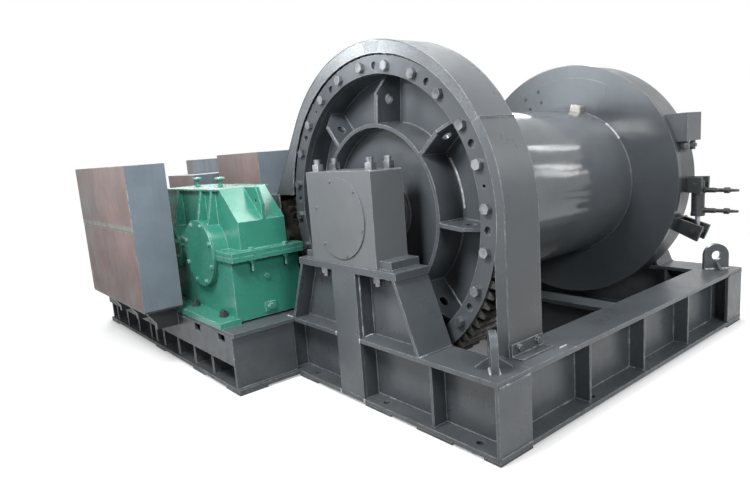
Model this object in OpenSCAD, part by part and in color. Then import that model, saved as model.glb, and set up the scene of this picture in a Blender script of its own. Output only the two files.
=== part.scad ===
// Hydraulic winch: single drum on a welded frame, open ring gear, gearbox, band brake.
// X runs along the drum axis from the gear end to the brake end, Y towards the drive, Z up.
// The origin is the centre of the main frame's anchor pattern, on the floor.

/* [Main frame] */
// Width of the main frame
frame_w = 2180; // [2160:5:2240]
// Height of the frame's top face above the floor
frame_h = 400; // [380:5:420]
// Width of the beam flanges
flange_w = 240; // [220:5:245]
// Thickness of the beam flanges
flange_t = 25; // [20:1:32]
// Thickness of webs and stiffeners
web_t = 16; // [12:1:22]
// Distance between the side stiffeners
bay_l = 590; // [560:5:610]
// Thickness of the sole pads under the beams
pad_t = 12; // [10:1:20]

/* [Pedestals] */
// Height of the drum shaft above the floor
shaft_z = 1080; // [1060:5:1120]
// Depth of a pedestal along the drum axis
ped_d = 240; // [232:1:245]
// Width of the pedestal's top plate
ped_top_w = 910; // [880:5:940]
// Width of the pedestal at its feet
ped_foot_w = 1190; // [1140:5:1240]
// Thickness of the pedestal's top plate
ped_plate_t = 40; // [30:1:50]

/* [Bearing blocks] */
// Depth of a bearing block along the drum axis
block_d = 225; // [210:1:230]
// Width of a bearing block
block_w = 600; // [580:5:640]
// Height of a bearing block
block_h = 526; // [500:2:540]
// Outer radius of the drum bearing
bearing_r = 200; // [190:1:205]
// Journal radius of the drum shaft
journal_r = 110; // [100:1:118]

/* [Drum] */
// Outer radius of the barrel
barrel_r = 550; // [500:5:600]
// Wall of the barrel
barrel_wall = 40; // [25:1:60]
// Length of the barrel between its end discs
barrel_l = 1729; // [1600:1:2100]
// Radius of the flange at the brake end
far_flange_r = 882; // [875:1:900]
// Outer radius of the brake rim
rim_r = 845; // [835:1:850]

/* [Open gear] */
// Module of the ring gear and its pinion
gear_m = 20; // [19.8:0.1:20.2]
// Teeth of the ring gear
gear_z = 91; // [90:1:92]
// Teeth of the open pinion
pinion_z = 26; // [25:1:27]
// Face width of the ring gear
gear_w = 200; // [180:5:205]
// Bolts that hold the ring gear to the drum
gear_bolts = 24; // [24:12:36]

/* [Gearbox] */
// Drop of the gearbox shafts below the drum shaft
shaft_drop = 240; // [230:1:250]
// Module of the enclosed gears
box_m = 10; // [9.8:0.1:10]
// Teeth of the output wheel
wheel_z = 68; // [66:1:68]
// Teeth of the input pinion
input_z = 32; // [30:1:32]
// Width of the lower housing along the shafts
box_w = 496; // [480:2:500]
// Width of the upper housing along the shafts
hood_w = 340; // [320:2:360]
// Height of the upper housing's flat roof above the shafts
roof_up = 422; // [410:1:440]

/* [Covers] */
// Height of the valve hood's top
hood_top_z = 1458; // [1400:2:1500]
// Length of the valve hood
valve_hood_l = 1240; // [1200:1:1300]
// Depth of the valve hood
valve_hood_d = 265; // [240:1:300]
// Thickness of the hood sheets
sheet_t = 6; // [5:0.5:10]

/* [Hidden] */

$fn = 64;
cut = 1;             // overrun of a cut past the face that it opens
run_gap = 0.5;       // gap between a turning piece and the fixed one round it
fit_gap = 0.05;      // radial clearance of a fitted shaft or ring
butt_gap = 0.5;      // gap between bases and covers that stand side by side
loose_gap = 1;       // radial clearance of a bolt in its hole

// Frame stations, taken from the drum and the room at its ends
gear_in = 287;       // from the frame's end to the ring gear's face
gear_lip = 13;
rim_w = 274;         // from the barrel's end to the brake rim's end
rim_in = 297;        // from the brake rim's end to the frame's end
frame_l = gear_in + gear_lip + gear_w + barrel_l + rim_w + rim_in;
x_front = -frame_l / 2;
x_rear = frame_l / 2;
y_side = frame_w / 2;
beam_z0 = pad_t;
beam_h = frame_h - pad_t;
web_h = beam_h - 2 * flange_t;
web_z0 = beam_z0 + flange_t;
deck_z0 = frame_h - flange_t;
recess = (flange_w - web_t) / 2;
plate_t = 20;        // closing, end and column plates
column_w = 220;      // column under the bearing block
stiff_shift = -28;   // the middle stiffener's place along the frame
inner_flange_w = 150;
foot_stiff_out = 45; // stiffeners under the feet of the pedestals
foot_stiff_y = ped_foot_w / 2 + foot_stiff_out;

// Anchors and the pads round them
anchor_r = 21;
anchor_in = 60;      // from a beam's outer edge to its anchor holes
side_anchor_out = 70;
side_anchor_x = stiff_shift + side_anchor_out;
end_anchor_in = 170;
end_anchor_y = y_side - end_anchor_in;
spare_anchor_shares = [-0.22, 0.413];
end_pad_shares = [[-1, -0.908], [-0.725, -0.495], [-0.307, -0.106], [0.344, 0.532], [0.908, 1]];
anchor_pad_r = 48;
half_pad = 110;

// Lifting lugs
lug_in = 130;
lug_base_in = 95;
lug_t = 36;
lug_w = 170;
lug_up = 100;
lug_hole_r = 34;
lug_gusset_w = 70;
lug_gusset_h = 60;
lug_toe = 12;

// Pedestal and bearing block
ped_z1 = shaft_z - block_h / 2;
ped_z0 = ped_z1 - ped_plate_t;
ped_over = 14;       // overhang of the top plate past the slanted flanges
block_in = 8;
block_x0 = x_front + block_in;
block_bolt_x = 62;
block_bolt_y = 245;
block_bolt_r = 20;
block_edge = 6;
nut_af = 60;
nut_h = 40;
stud_under = 62;
stud_over = 28;
keeper_w = 95;
keeper_h = 48;
keeper_in = [20, 5];
cover_r = 230;
cover_t = 8;
cover_spigot = 18;
cover_screw_r = 8;
cover_screw_h = 5;
cover_screw_in = 15;
shaft_in = 20;       // from a block's outer face to the shaft's end
shaft_edge = 6;
shaft_room = 2;      // radial room of the shaft in a bearing block
step_room = 6;       // from an inner ring to the shaft's step
roller_r = 17;
roller_in = 10;
race_t = 22;
bearing_w = 120;
roller_count = 20;

// Drum
gear_x0 = x_front + gear_in;
gear_web_t = 40;
gear_r = gear_m * gear_z / 2;
pinion_r = gear_m * pinion_z / 2;
gear_tip_r = gear_r + gear_m;
gear_root_r = gear_r - 1.25 * gear_m;
gear_rim_h = 100;
gear_in_r = gear_root_r - gear_rim_h;
gear_bolt_in = 45;
gear_bolt_r = gear_in_r + gear_bolt_in;
gear_bolt_phase = 3.4;
gear_shelf = 75;     // width of the web that the bolts go through
seat_w = 65;
bolt_r = 14;
bolt_head_h = 26;
bolt_head_af = 50;
bolt_over = 40;
web_hole_r = 22;
jack_hole_r = 10;
disc_t = 30;
hub_r = 512;
hub_wall = 22;
hub_out = 5;
hub_disc_in = 100;
dish_wall = 15;
shaft_r = 130;
boss_wall = 55;
boss_r = shaft_r + boss_wall;
end_x1 = gear_x0 + gear_lip + gear_w;
end_x0 = end_x1 - disc_t;
hub_x0 = gear_x0 - hub_out;
hub_disc_x = hub_x0 + hub_disc_in;
barrel_x1 = end_x1 + barrel_l;
far_t = 40;
rim_x1 = barrel_x1 + rim_w;
rim_wall = 30;
far_hub_r = 392;
far_hub_in = 20;
far_rib_in = 30;
rib_t = 18;
rib_count = 8;
rib_hole_r = 28;
gear_rib_phase = -5.3;
far_rib_phase = 22;
patch_t = 6;
patch_r = [640, 790];
clamp_hole_r = 13;
clamp_hole_in = [18, 42];
wedge_w = 84;
wedge_h = 46;
wedge_l = 64;
wedge_hole_r = 9;

// Open pinion and gearbox shafts
box_z = shaft_z - shaft_drop;
centre_d = gear_r + pinion_r;
pinion_y = sqrt(centre_d * centre_d - shaft_drop * shaft_drop);
mesh_angle = atan2(-shaft_drop, pinion_y);
box_cd = box_m * (wheel_z + input_z) / 2;
input_y = pinion_y + box_cd;
output_r = 90;
input_r = 55;
backlash = 1.2;
pinion_over = 5;

// Gearbox housing
box_out = 320;
box_x0 = x_front - box_out;
box_x1 = box_x0 + box_w;
hood_x0 = box_x0 + (box_w - hood_w) / 2;
hood_x1 = hood_x0 + hood_w;
box_near = 393;      // from the output shaft to the near end wall
box_far = 300;       // from the input shaft to the far end wall
box_y0 = pinion_y - box_near;
box_y1 = input_y + box_far;
box_wall = 20;
joint_t = 60;
joint_out = 62;      // overhang of the joint flange at the gearbox's ends
joint_side = [20, 9];
box_lift = 12;       // dark gap under the housing between its feet
floor_t = 30;
foot_t = 40;
foot_out = [128, 64];
foot_near = 16;
foot_far = 25;
foot_x0 = box_x0 - foot_out[0];
foot_x1 = box_x1 + foot_out[1];
foot_bolt_in = [95, 32];
foot_bolt_near = [128, 573];
foot_bolt_y = [box_y0 + foot_bolt_near[0], box_y0 + foot_bolt_near[1], box_y1 - box_far,
  box_y1 - box_far / 3];
foot_bolt_r = 15;
foot_bolt_af = 46;
foot_nut_h = 28;
foot_bolt_over = 12;
washer_r = 28;
washer_t = 5;
eave_up = 212;       // top of the upper housing's end wall above the shafts
roof_run = 220;      // length of the sloping roof
roof_t = 12;
roof_out = 26;
far_chamfer = 60;
gusset_t = 22;
gusset_up = 150;
low_cover_r = 225;
high_cover_r = 165;
boss_in = 5;
boss_out = 22;
box_cover_t = 18;
box_screw_af = 26;
box_screw_h = 12;
box_screw_in = 24;
boss_x0 = box_x0 - boss_out;
boss_x1 = box_x1 + boss_out;
low_bearing_r = 160;
high_bearing_r = 105;
box_bearing_w = 70;
box_bearing_in = 4;
top_z = box_z + roof_up;
roof_lug_t = 26;
roof_lug_x = 20;
roof_lug_in = 30;
roof_lug_h = 95;
roof_hole_r = 15;
roof_hole_in = 38;
roof_hole_up = 118;
joint_bolt_in = [134, 382];
joint_bolt_r = 9;
joint_bolt_l = 75;
joint_bolt_af = 34;
joint_nut_h = 18;
vent_y_shares = [0.465, 0.796];
vent_r = [20, 12, 34, 38];
vent_h = [10, 48, 56, 66, 70];
plug_af = 34;
plug_h = 16;
plug_x = 237;
plug_down = 160;
drain_x = [205, 285];
drain_t = 12;
drain_h = 64;
drain_af = 40;
drain_plug_h = 18;
wheel_in = 165;
wheel_w = 160;
wheel_hole_r = 45;
shaft_end_in = 6;
pinion_shoulder = 5;

// Drive base: one deck height, split where the seat, the valve base and the motor base meet
base_out = 440;
base_x0 = x_front - base_out;
base_y0 = 580;
seat_y1 = 2065;
base_y1 = 3250;
base_w = 1780;
base_x1 = base_x0 + base_w;
apron_z0 = 185;
side_in = 22;        // set-back of the near side plate under the deck's edge
post_y0 = base_y0 + 400;
post_pitch = 300;
base_pad = 200;
mid_pad_in = 530;
base_anchor_in = 120;
slot_in = [6, 378];
slot_w = 94;
slot_h = 57;
cross_webs = 6;

// Outboard bearing of the output shaft
out_brg_in = 30;
out_brg_w = 150;
out_brg_half_w = 190;
out_brg_r = 150;
out_brg_foot = 40;
out_shaft_over = 20;

// Coupling, motor and bracket
input_out = 130;
input_x1 = box_x1 + input_out;
coupling_in = 75;
coupling_l = 90;
coupling_r = 85;
coupling_flange_r = 130;
coupling_flange_t = 30;
coupling_gap = 4;
coupling_pin_r = 9;
coupling_pin_at = 108;
coupling_pin_l = 92;
coupling_pin_in = 44;
coupling_nut_af = 28;
coupling_nut_h = 13;
motor_in = 150;
motor_face_x = input_x1 + motor_in;
motor_shaft_l = 60;
motor_pilot_r = 80;
motor_flange_r = 120;
motor_r = 105;
motor_l = 330;
motor_block_l = 130;
motor_port_r = 30;
port_wall = 12;
port_h = 26;
port_depth = 40;
bracket_t = 30;
bracket_half_w = 122;
bracket_top_r = 135;
bracket_foot_l = 170;
bracket_gusset_t = 20;
bracket_drop = 150;

// Hoods, tank and cabinet
valve_gap = 12;
valve_x1 = base_x0 - valve_gap;
valve_x0 = valve_x1 - valve_hood_d;
valve_in = 732;
valve_y0 = base_y0 + valve_in;
valve_z0 = 475;
seam_z = 1025;
seam_t = 3;
seam_in = 4;
tray_t = 12;
tray_in = 2;
arm_y_shares = [0.12, 0.45, 0.78];
arm_w = 40;
arm_l = 160;
arm_z = [300, 345];
arm_head_in = 30;
acc_r = 85;
acc_pitch = 200;
acc_in = 210;
acc_room = 60;       // from an accumulator's neck to the hood's roof
acc_neck_r = 30;
acc_neck_h = 70;
block_half_w = 70;
block_y = [770, 1070];
block_tall = 300;
motor_hood_x = [360, 1300];
motor_hood_y = [1511, 2240];
motor_hood_z1 = 1488;
tank_x = [200, 900];
tank_y = [2431, 3020];
tank_z1 = 1330;
cab_x = [475, 1145];
cab_y = [3040, 3215];
cab_z1 = 1465;

// Band brake
lining_t = 16;
lining_gap = 0.8;
band_t = 14;
lining_r = rim_r + lining_gap;
band_r = lining_r + lining_t;
band_out_r = band_r + band_t;
band_in = [12, 10];
band_x0 = barrel_x1 + far_t + band_in[0];
band_x1 = rim_x1 - band_in[1];
split_a = -11.8;     // angle of the gap between the band's ends, below the drive-free side
split_half_a = 6.2;
hinge_gap_a = 3;
hinge_r = 22;
hinge_wall = 18;
hinge_out = 34;
hinge_root = 6;
hinge_w = 40;
hinge_in = [30, 70];
hinge_y = band_out_r + hinge_out;
hinge_head = 10;
hinge_head_r = 30;
hinge_pin_in = 28;
hinge_mid_in = 72;
cyl_in = 120;
cyl_out = 62;
cyl_x = band_x0 + cyl_in;
cyl_y = -(band_out_r + cyl_out);
cyl_r = 42;
piston_r = cyl_r - 9 / 42 * cyl_r;
piston_w = 26;
piston_up = 48;
trunnion_r = 15;
trunnion_up = 60;
cheek_gap = 4;
cheek_in = cyl_r + cheek_gap;
cheek_t = 22;
pin_over = 6;
pin_head = 8;
cyl_l = 215;
cyl_head = 12;
collar_t = 3;
collar_h = 24;
gland_h = 26;
gland_cut = 40;
piston_room = 8;
rod_r = 16;
eye_r = 30;
eye_gap = 3;
eye_flat = 3;
port_in = [38, 22];
port_r = 21;
port_out = 8;
tail_l = 205;
tail_r_shares = [0.083, 0.063, 0.098, 0.054, 0.039];
tail_x_shares = [0.3, 0.34, 0.56, 0.58, 0.72, 0.76];
lug_out = [110, 175];
anchor_box_a = 24.3;
anchor_box_over = 4;
anchor_box_out = 34;
anchor_box_depth = 150;
anchor_box_h = 190;
adjuster_r = 17;
adjuster_l = 62;
adjuster_in = 30;
adjuster_nut_up = 18;
adjuster_af = 46;
adjuster_nut_h = 26;

// Gear guard
face_t = 8;
face_gap = 6;        // room between the front sheet and the ring gear
guard_w = 267;
guard_x0 = gear_x0 - face_gap - face_t;
guard_x1 = guard_x0 + guard_w;
guard_t = 10;
arch_t = 6;
arch_gap = 5;
arch_r = gear_tip_r + arch_gap;
arch_off = [12, 33]; // centre of the arch from the drum axis, along Y and up
arch_c = [arch_off[0], shaft_z + arch_off[1]];
leg_gap = 15;
leg_r = gear_tip_r + leg_gap;
leg_lap = 4;
leg_strip = 50;
face_over = 8;
guard_in_r = gear_root_r + face_over;
arch_a0 = 31;
arch_a1 = 145;
arch_lap = 1;        // angle by which the rolled sheet runs into the straight one
leg_low_a = 12.1;
box_top_gap = 70;
box_top_z = box_z + pinion_r + box_top_gap;
box_side_gap = 75;
box_out_y = pinion_y + pinion_r + box_side_gap;
slot_room = 12;
guard_foot_l = 70;
guard_foot_t = 10;
guard_foot_in = 8;
guard_bolt_x = 75;
guard_bolt_af = 30;
guard_bolt_h = 16;

// A box between two corners
module slab(x, y, z) {
  translate([x[0], y[0], z[0]]) cube([x[1] - x[0], y[1] - y[0], z[1] - z[0]]);
}

// Profiles drawn in the YZ plane and run along X, or drawn in XZ and run along Y
module along_x(x0, x1) {
  translate([x0, 0, 0]) rotate([90, 0, 90]) linear_extrude(x1 - x0) children();
}
module along_y(y0, y1) {
  translate([0, y1, 0]) rotate([90, 0, 0]) linear_extrude(y1 - y0) children();
}

// Round bars and rings round an axis parallel to X
module bar_x(r, x0, x1, y = 0, z = shaft_z) {
  translate([x0, y, z]) rotate([0, 90, 0]) cylinder(r = r, h = x1 - x0);
}
module ring_x(r1, r0, x0, x1, y = 0, z = shaft_z) {
  translate([x0, y, z]) rotate([0, 90, 0]) difference() {
    cylinder(r = r1, h = x1 - x0);
    translate([0, 0, -cut]) cylinder(r = r0, h = x1 - x0 + 2 * cut);
  }
}

// Puts its children, drawn upwards from the axis, at an angle from the near side towards the top
module at_angle(a) {
  translate([0, 0, shaft_z]) rotate([90 - a, 0, 0]) children();
}
// Round bars parallel to the axis, n of them at radius rc
module bars_round(n, phase, rc, r, x0, x1) {
  for (i = [0:n - 1]) at_angle(phase + i * 360 / n)
    translate([x0, 0, rc]) rotate([0, 90, 0]) cylinder(r = r, h = x1 - x0);
}

// A sector of a ring in the YZ plane, from angle a0 to a1 counted as in at_angle
function arc_pts(r, a0, a1, n) = [for (i = [0:n]) let (a = a0 + (a1 - a0) * i / n) [-r * cos(a),
  shaft_z + r * sin(a)]];
module sector(r1, r0, a0, a1, n = 24) {
  intersection() {
    translate([0, shaft_z]) difference() {
      circle(r = r1, $fn = 180);
      circle(r = r0, $fn = 180);
    }
    polygon(concat([[0, shaft_z]], arc_pts(2 * r1, a0, a1, n)));
  }
}

// Hexagon heads and nuts along Z
module hex(af, h) {
  cylinder(r = af / sqrt(3), h = h, $fn = 6);
}

// Involute spur gear outline, first tooth centred on the X axis
function inv(a) = tan(a) * 180 / PI - a;
function half_angle(m, z, r) =
  let (rb = m * z / 2 * cos(20), c = min(1, rb / r))
  90 / z - backlash / 2 / (m * z / 2) * 180 / PI + inv(20) - inv(acos(c));
function flank(m, z, n) =
  let (r0 = m * z / 2 - 1.25 * m, r1 = m * z / 2 + m)
  [for (i = [0:n]) let (r = r0 + (r1 - r0) * i / n) [r, half_angle(m, z, r)]];
module gear_outline(m, z, n = 4) {
  side = flank(m, z, n);
  polygon([for (t = [0:z - 1]) let (c = t * 360 / z)
    for (k = [0:2 * n + 1])
      let (p = k <= n ? side[k] : side[2 * n + 1 - k], s = k <= n ? -1 : 1)
      p[0] * [cos(c + s * p[1]), sin(c + s * p[1])]]);
}

// Welded beams: an I section along X with stiffeners, closed corners and end plates
module i_section(w, h, z0) {
  translate([-w / 2, z0]) square([w, flange_t]);
  translate([-w / 2, z0 + h - flange_t]) square([w, flange_t]);
  translate([-web_t / 2, z0]) square([web_t, h]);
}
module stiffener_x(x, side) {
  y0 = side > 0 ? web_t / 2 : -flange_w / 2 + plate_t;
  slab([x - web_t / 2, x + web_t / 2], [y0, y0 + recess - plate_t], [web_z0, web_z0 + web_h]);
}
module long_beam() {
  x_in = x_rear - flange_w;
  x_web = x_rear - flange_w / 2 - web_t / 2;
  difference() {
    union() {
      along_x(-x_in, x_in) i_section(flange_w, beam_h, beam_z0);
      slab([-x_web, x_web], [-web_t / 2, web_t / 2], [web_z0, web_z0 + web_h]);
      for (k = [-1:1]) stiffener_x(k * bay_l + stiff_shift, -1);
      for (e = [-1, 1]) stiffener_x(e * bay_l + stiff_shift, 1);
    }
    for (e = [-1, 1]) translate([side_anchor_x + e * bay_l, -flange_w / 2 + anchor_in, beam_z0 - cut])
      cylinder(r = anchor_r, h = flange_t + 2 * cut);
  }
}
module side_beam_right() {
  color("dimgray") translate([0, -y_side + flange_w / 2, 0]) long_beam();
}
module side_beam_left() {
  color("dimgray") mirror([0, 1, 0]) translate([0, -y_side + flange_w / 2, 0]) long_beam();
}

// Inner cross beams butt on the side beams' flanges, and their webs reach the side beams' webs
module cross_beam(w) {
  y_in = y_side - flange_w;
  y_web = y_side - flange_w / 2 - web_t / 2;
  slab([-w / 2, w / 2], [-y_in, y_in], [beam_z0, web_z0]);
  slab([-w / 2, w / 2], [-y_in, y_in], [deck_z0, frame_h]);
  slab([-web_t / 2, web_t / 2], [-y_web, y_web], [web_z0, deck_z0]);
}
// End beams run over the frame's whole width, closed at their ends and notched for the column
module end_beam() {
  rib_y = column_w / 2;
  xw = x_front + flange_w / 2;
  difference() {
    union() {
      slab([x_front, x_front + flange_w], [-y_side, y_side], [beam_z0, web_z0]);
      slab([x_front, x_front + flange_w], [-y_side, y_side], [deck_z0, frame_h]);
      slab([xw - web_t / 2, xw + web_t / 2], [plate_t - y_side, y_side - plate_t], [web_z0, deck_z0]);
      for (e = [0, 1]) mirror([0, e, 0]) {
        slab([x_front, x_front + flange_w], [y_side - plate_t, y_side], [web_z0, deck_z0]);
        slab([x_front + plate_t, xw - web_t / 2], [rib_y - web_t, rib_y], [web_z0, deck_z0]);
        slab([x_front + plate_t, x_front + flange_w], [foot_stiff_y, foot_stiff_y + web_t], [web_z0,
          deck_z0]);
      }
    }
    slab([x_front - cut, x_front + plate_t], [-rib_y, rib_y], [web_z0, frame_h + cut]);
    for (y = end_hole_y) translate([x_front + anchor_in, y, beam_z0 - cut])
      cylinder(r = anchor_r, h = flange_t + 2 * cut);
  }
}
end_hole_y = concat([-end_anchor_y, end_anchor_y], spare_anchor_shares * y_side);
module front_beam() {
  color("dimgray") end_beam();
}
module rear_beam() {
  color("dimgray") mirror([1, 0, 0]) end_beam();
}
module inner_beam() {
  color("dimgray") translate([stiff_shift, 0, 0]) cross_beam(inner_flange_w);
}
// Thin pads under the beams and round the anchor holes
module sole_pads() {
  color("slategray") difference() {
    union() {
      for (e = [0, 1]) mirror([e, 0, 0]) {
        for (s = end_pad_shares) slab([x_front, x_front + flange_w], s * y_side, [0, pad_t]);
        for (y = [-end_anchor_y, end_anchor_y]) translate([x_front + anchor_in, y, 0])
          cylinder(r = anchor_pad_r, h = pad_t);
      }
      for (ex = [-1, 1], ey = [-1, 1]) {
        translate([side_anchor_x + ex * bay_l, ey * (y_side - anchor_in), 0])
          cylinder(r = anchor_pad_r, h = pad_t);
        translate([ex * bay_l + stiff_shift - half_pad, ey * (y_side - flange_w / 2) - flange_w / 4, 0])
          cube([2 * half_pad, flange_w / 2, pad_t]);
      }
    }
    for (ex = [-1, 1]) {
      for (y = end_hole_y) translate([ex * (x_rear - anchor_in), y, -cut])
        cylinder(r = anchor_r, h = pad_t + 2 * cut);
      for (ey = [-1, 1]) translate([side_anchor_x + ex * bay_l, ey * (y_side - anchor_in), -cut])
        cylinder(r = anchor_r, h = pad_t + 2 * cut);
    }
  }
}

// Lifting lugs stand on the corners and point at the middle of the load
module lug() {
  translate([0, lug_t / 2, 0]) rotate([90, 0, 0]) linear_extrude(lug_t) difference() {
    union() {
      translate([-lug_w / 2, 0]) square([lug_w, lug_up]);
      translate([0, lug_up]) circle(r = lug_w / 2);
    }
    translate([0, lug_up]) circle(r = lug_hole_r);
  }
  for (e = [0, 1]) mirror([0, e, 0]) along_x(-web_t / 2, web_t / 2) polygon([
    [lug_t / 2, 0], [lug_t / 2 + lug_gusset_w, 0], [lug_t / 2 + lug_gusset_w, lug_toe], [lug_t / 2,
      lug_gusset_h]]);
}
module lifting_lugs() {
  color("dimgray") {
    translate([x_front + lug_in, lug_in - y_side, frame_h]) rotate([0, 0, 45]) lug();
    translate([x_rear - lug_in, lug_in - y_side, frame_h]) rotate([0, 0, -45]) lug();
    translate([x_rear - lug_in, y_side - lug_in, frame_h]) rotate([0, 0, 45]) lug();
    translate([base_x1 - lug_base_in, base_y1 - lug_base_in, frame_h]) rotate([0, 0, 45]) lug();
  }
}

// Pedestal: thick top plate, slanted side flanges, recessed web and a flush column
module pedestal() {
  half_top = ped_top_w / 2;
  half_foot = ped_foot_w / 2;
  x1 = x_front + ped_d;
  xw = x_front + ped_d / 2;
  difference() {
    slab([x_front, x1], [-half_top, half_top], [ped_z0, ped_z1]);
    for (ex = [-1, 1], ey = [-1, 1])
      translate([block_x0 + block_d / 2 + ex * block_bolt_x, ey * block_bolt_y, ped_z0 - cut])
        cylinder(r = block_bolt_r + loose_gap, h = ped_plate_t + 2 * cut);
  }
  for (e = [0, 1]) mirror([0, e, 0]) {
    along_x(x_front, x1) polygon([
      [half_foot, frame_h], [half_foot - plate_t, frame_h],
      [half_top - ped_over - plate_t, ped_z0], [half_top - ped_over, ped_z0]]);
    slab([x_front + plate_t, x1], [column_w / 2 - web_t, column_w / 2], [frame_h, ped_z0]);
    slab([block_x0 + keeper_in[0], block_x0 + block_d - keeper_in[1]],
         [block_w / 2 + run_gap, block_w / 2 + keeper_w], [ped_z1, ped_z1 + keeper_h]);
  }
  along_x(xw - web_t / 2, xw + web_t / 2) polygon([
    [-half_foot + plate_t, frame_h], [half_foot - plate_t, frame_h],
    [half_top - ped_over - plate_t, ped_z0], [-half_top + ped_over + plate_t, ped_z0]]);
  slab([x_front, x_front + plate_t], [-column_w / 2, column_w / 2], [web_z0, ped_z0]);
}
module front_pedestal() {
  color("dimgray") pedestal();
}
module rear_pedestal() {
  color("dimgray") mirror([1, 0, 0]) pedestal();
}

// Bearing block: one thick block bored for the bearing, held down by four long studs
module bearing_block() {
  xc = block_x0 + block_d / 2;
  half_w = block_w / 2;
  z1 = ped_z1 + block_h;
  difference() {
    along_x(block_x0, block_x0 + block_d) polygon([
      [-half_w, ped_z1], [half_w, ped_z1], [half_w, z1 - block_edge], [half_w - block_edge, z1],
      [-half_w + block_edge, z1], [-half_w, z1 - block_edge]]);
    bar_x(bearing_r, block_x0 - cut, xc + bearing_w / 2);
    bar_x(shaft_r + shaft_room, block_x0, block_x0 + block_d + cut);
    for (ex = [-1, 1], ey = [-1, 1])
      translate([xc + ex * block_bolt_x, ey * block_bolt_y, ped_z1 - cut])
        cylinder(r = block_bolt_r + loose_gap, h = block_h + 2 * cut);
  }
}
module front_bearing_block() {
  color("gray") bearing_block();
}
module rear_bearing_block() {
  color("gray") mirror([1, 0, 0]) bearing_block();
}
module block_stud() {
  top_z1 = ped_z1 + block_h;
  difference() {
    translate([0, 0, ped_z0 - stud_under])
      cylinder(r = block_bolt_r, h = top_z1 - ped_z0 + stud_under + nut_h + stud_over);
    translate([0, 0, ped_z0 - stud_under - cut]) cylinder(r = block_bolt_r / 4, h = cut + block_bolt_r / 2);
  }
  translate([0, 0, top_z1]) hex(nut_af, nut_h);
  translate([0, 0, ped_z0 - nut_h]) hex(nut_af, nut_h);
}
module block_bolts() {
  color("silver") for (side = [0, 1], ex = [-1, 1], ey = [-1, 1]) mirror([side, 0, 0])
    translate([block_x0 + block_d / 2 + ex * block_bolt_x, ey * block_bolt_y, 0]) block_stud();
}
module bearing_covers() {
  x0 = block_x0 - cover_t;
  color("gray") for (side = [0, 1]) mirror([side, 0, 0]) {
    bar_x(cover_r, x0, block_x0);
    ring_x(bearing_r - fit_gap, bearing_r - cover_spigot, block_x0, brg_x0);
    bars_round(6, 45, cover_r - cover_screw_in, cover_screw_r, x0 - cover_screw_h, x0);
  }
}

// Drum bearings, one in each block
brg_x0 = block_x0 + block_d / 2 - bearing_w / 2;
brg_x1 = brg_x0 + bearing_w;
module bearing_outer_rings() {
  color("silver") for (side = [0, 1]) mirror([side, 0, 0])
    ring_x(bearing_r - fit_gap, bearing_r - race_t, brg_x0, brg_x1);
}
module bearing_inner_rings() {
  color("silver") for (side = [0, 1]) mirror([side, 0, 0])
    ring_x(bearing_r - race_t - 2 * roller_r - 2 * run_gap, journal_r, brg_x0, brg_x1);
}
module bearing_rollers() {
  color("silver") for (side = [0, 1]) mirror([side, 0, 0])
    bars_round(roller_count, 0, bearing_r - race_t - roller_r - run_gap, roller_r, brg_x0 + roller_in,
      brg_x1 - roller_in);
}

// Drum shaft with stepped journals
module drum_shaft() {
  half_l = -block_x0 - shaft_in;
  step_x = -brg_x1 - step_room;
  r0 = journal_r - fit_gap;
  color("silver") translate([0, 0, shaft_z]) rotate([0, 90, 0]) rotate_extrude($fn = 96) polygon([
    [0, -half_l], [r0 - shaft_edge, -half_l], [r0, -half_l + shaft_edge], [r0, -step_x], [shaft_r, -step_x],
    [shaft_r, step_x], [r0, step_x], [r0, half_l - shaft_edge], [r0 - shaft_edge, half_l], [0, half_l]]);
}
module drum_barrel() {
  color("dimgray") ring_x(barrel_r, barrel_r - barrel_wall, end_x1, barrel_x1);
}

// A radial rib: full depth near the hub, then its free edge slants back to the disc at the rim
gear_rib_shares = [0.62, 0.47];
far_rib_shares = [0.45, 0.45];
module end_rib(x_free, x_disc, r0, r1, a, shares) {
  xm = x_free + shares[1] * (x_disc - x_free);
  at_angle(a) difference() {
    translate([0, rib_t / 2, 0]) rotate([90, 0, 0]) linear_extrude(rib_t) polygon([
      [x_disc, r0], [x_free, r0], [x_free, r0 + shares[0] * (r1 - r0)], [xm, r1], [x_disc, r1]]);
    translate([(x_free + x_disc) / 2, rib_t, (r0 + r1) / 2]) rotate([90, 0, 0])
      cylinder(r = rib_hole_r, h = 2 * rib_t);
  }
}

// Gear end of the drum: a dish with a hub tube, eight ribs and the seat of the ring gear
module gear_end_disc() {
  seat_x = gear_x0 + gear_web_t;
  seat_r = gear_in_r + seat_w;
  color("dimgray") {
    difference() {
      union() {
        ring_x(gear_in_r + dish_wall, hub_r - hub_wall, end_x0, end_x1);
        ring_x(gear_in_r + dish_wall, gear_in_r, seat_x, end_x0);
        ring_x(seat_r, gear_in_r, seat_x, seat_x + gear_web_t);
        ring_x(hub_r, hub_r - hub_wall, hub_x0, end_x0);
        ring_x(hub_r - hub_wall, boss_r, hub_disc_x, hub_disc_x + disc_t);
        ring_x(boss_r, shaft_r + fit_gap, hub_disc_x - disc_t, end_x1);
      }
      bars_round(gear_bolts, gear_bolt_phase, gear_bolt_r, bolt_r + loose_gap, seat_x - cut,
        seat_x + gear_web_t + cut);
    }
    for (i = [0:rib_count - 1])
      end_rib(hub_x0, end_x0, hub_r, gear_in_r, gear_rib_phase + i * 360 / rib_count, gear_rib_shares);
  }
}

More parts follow.
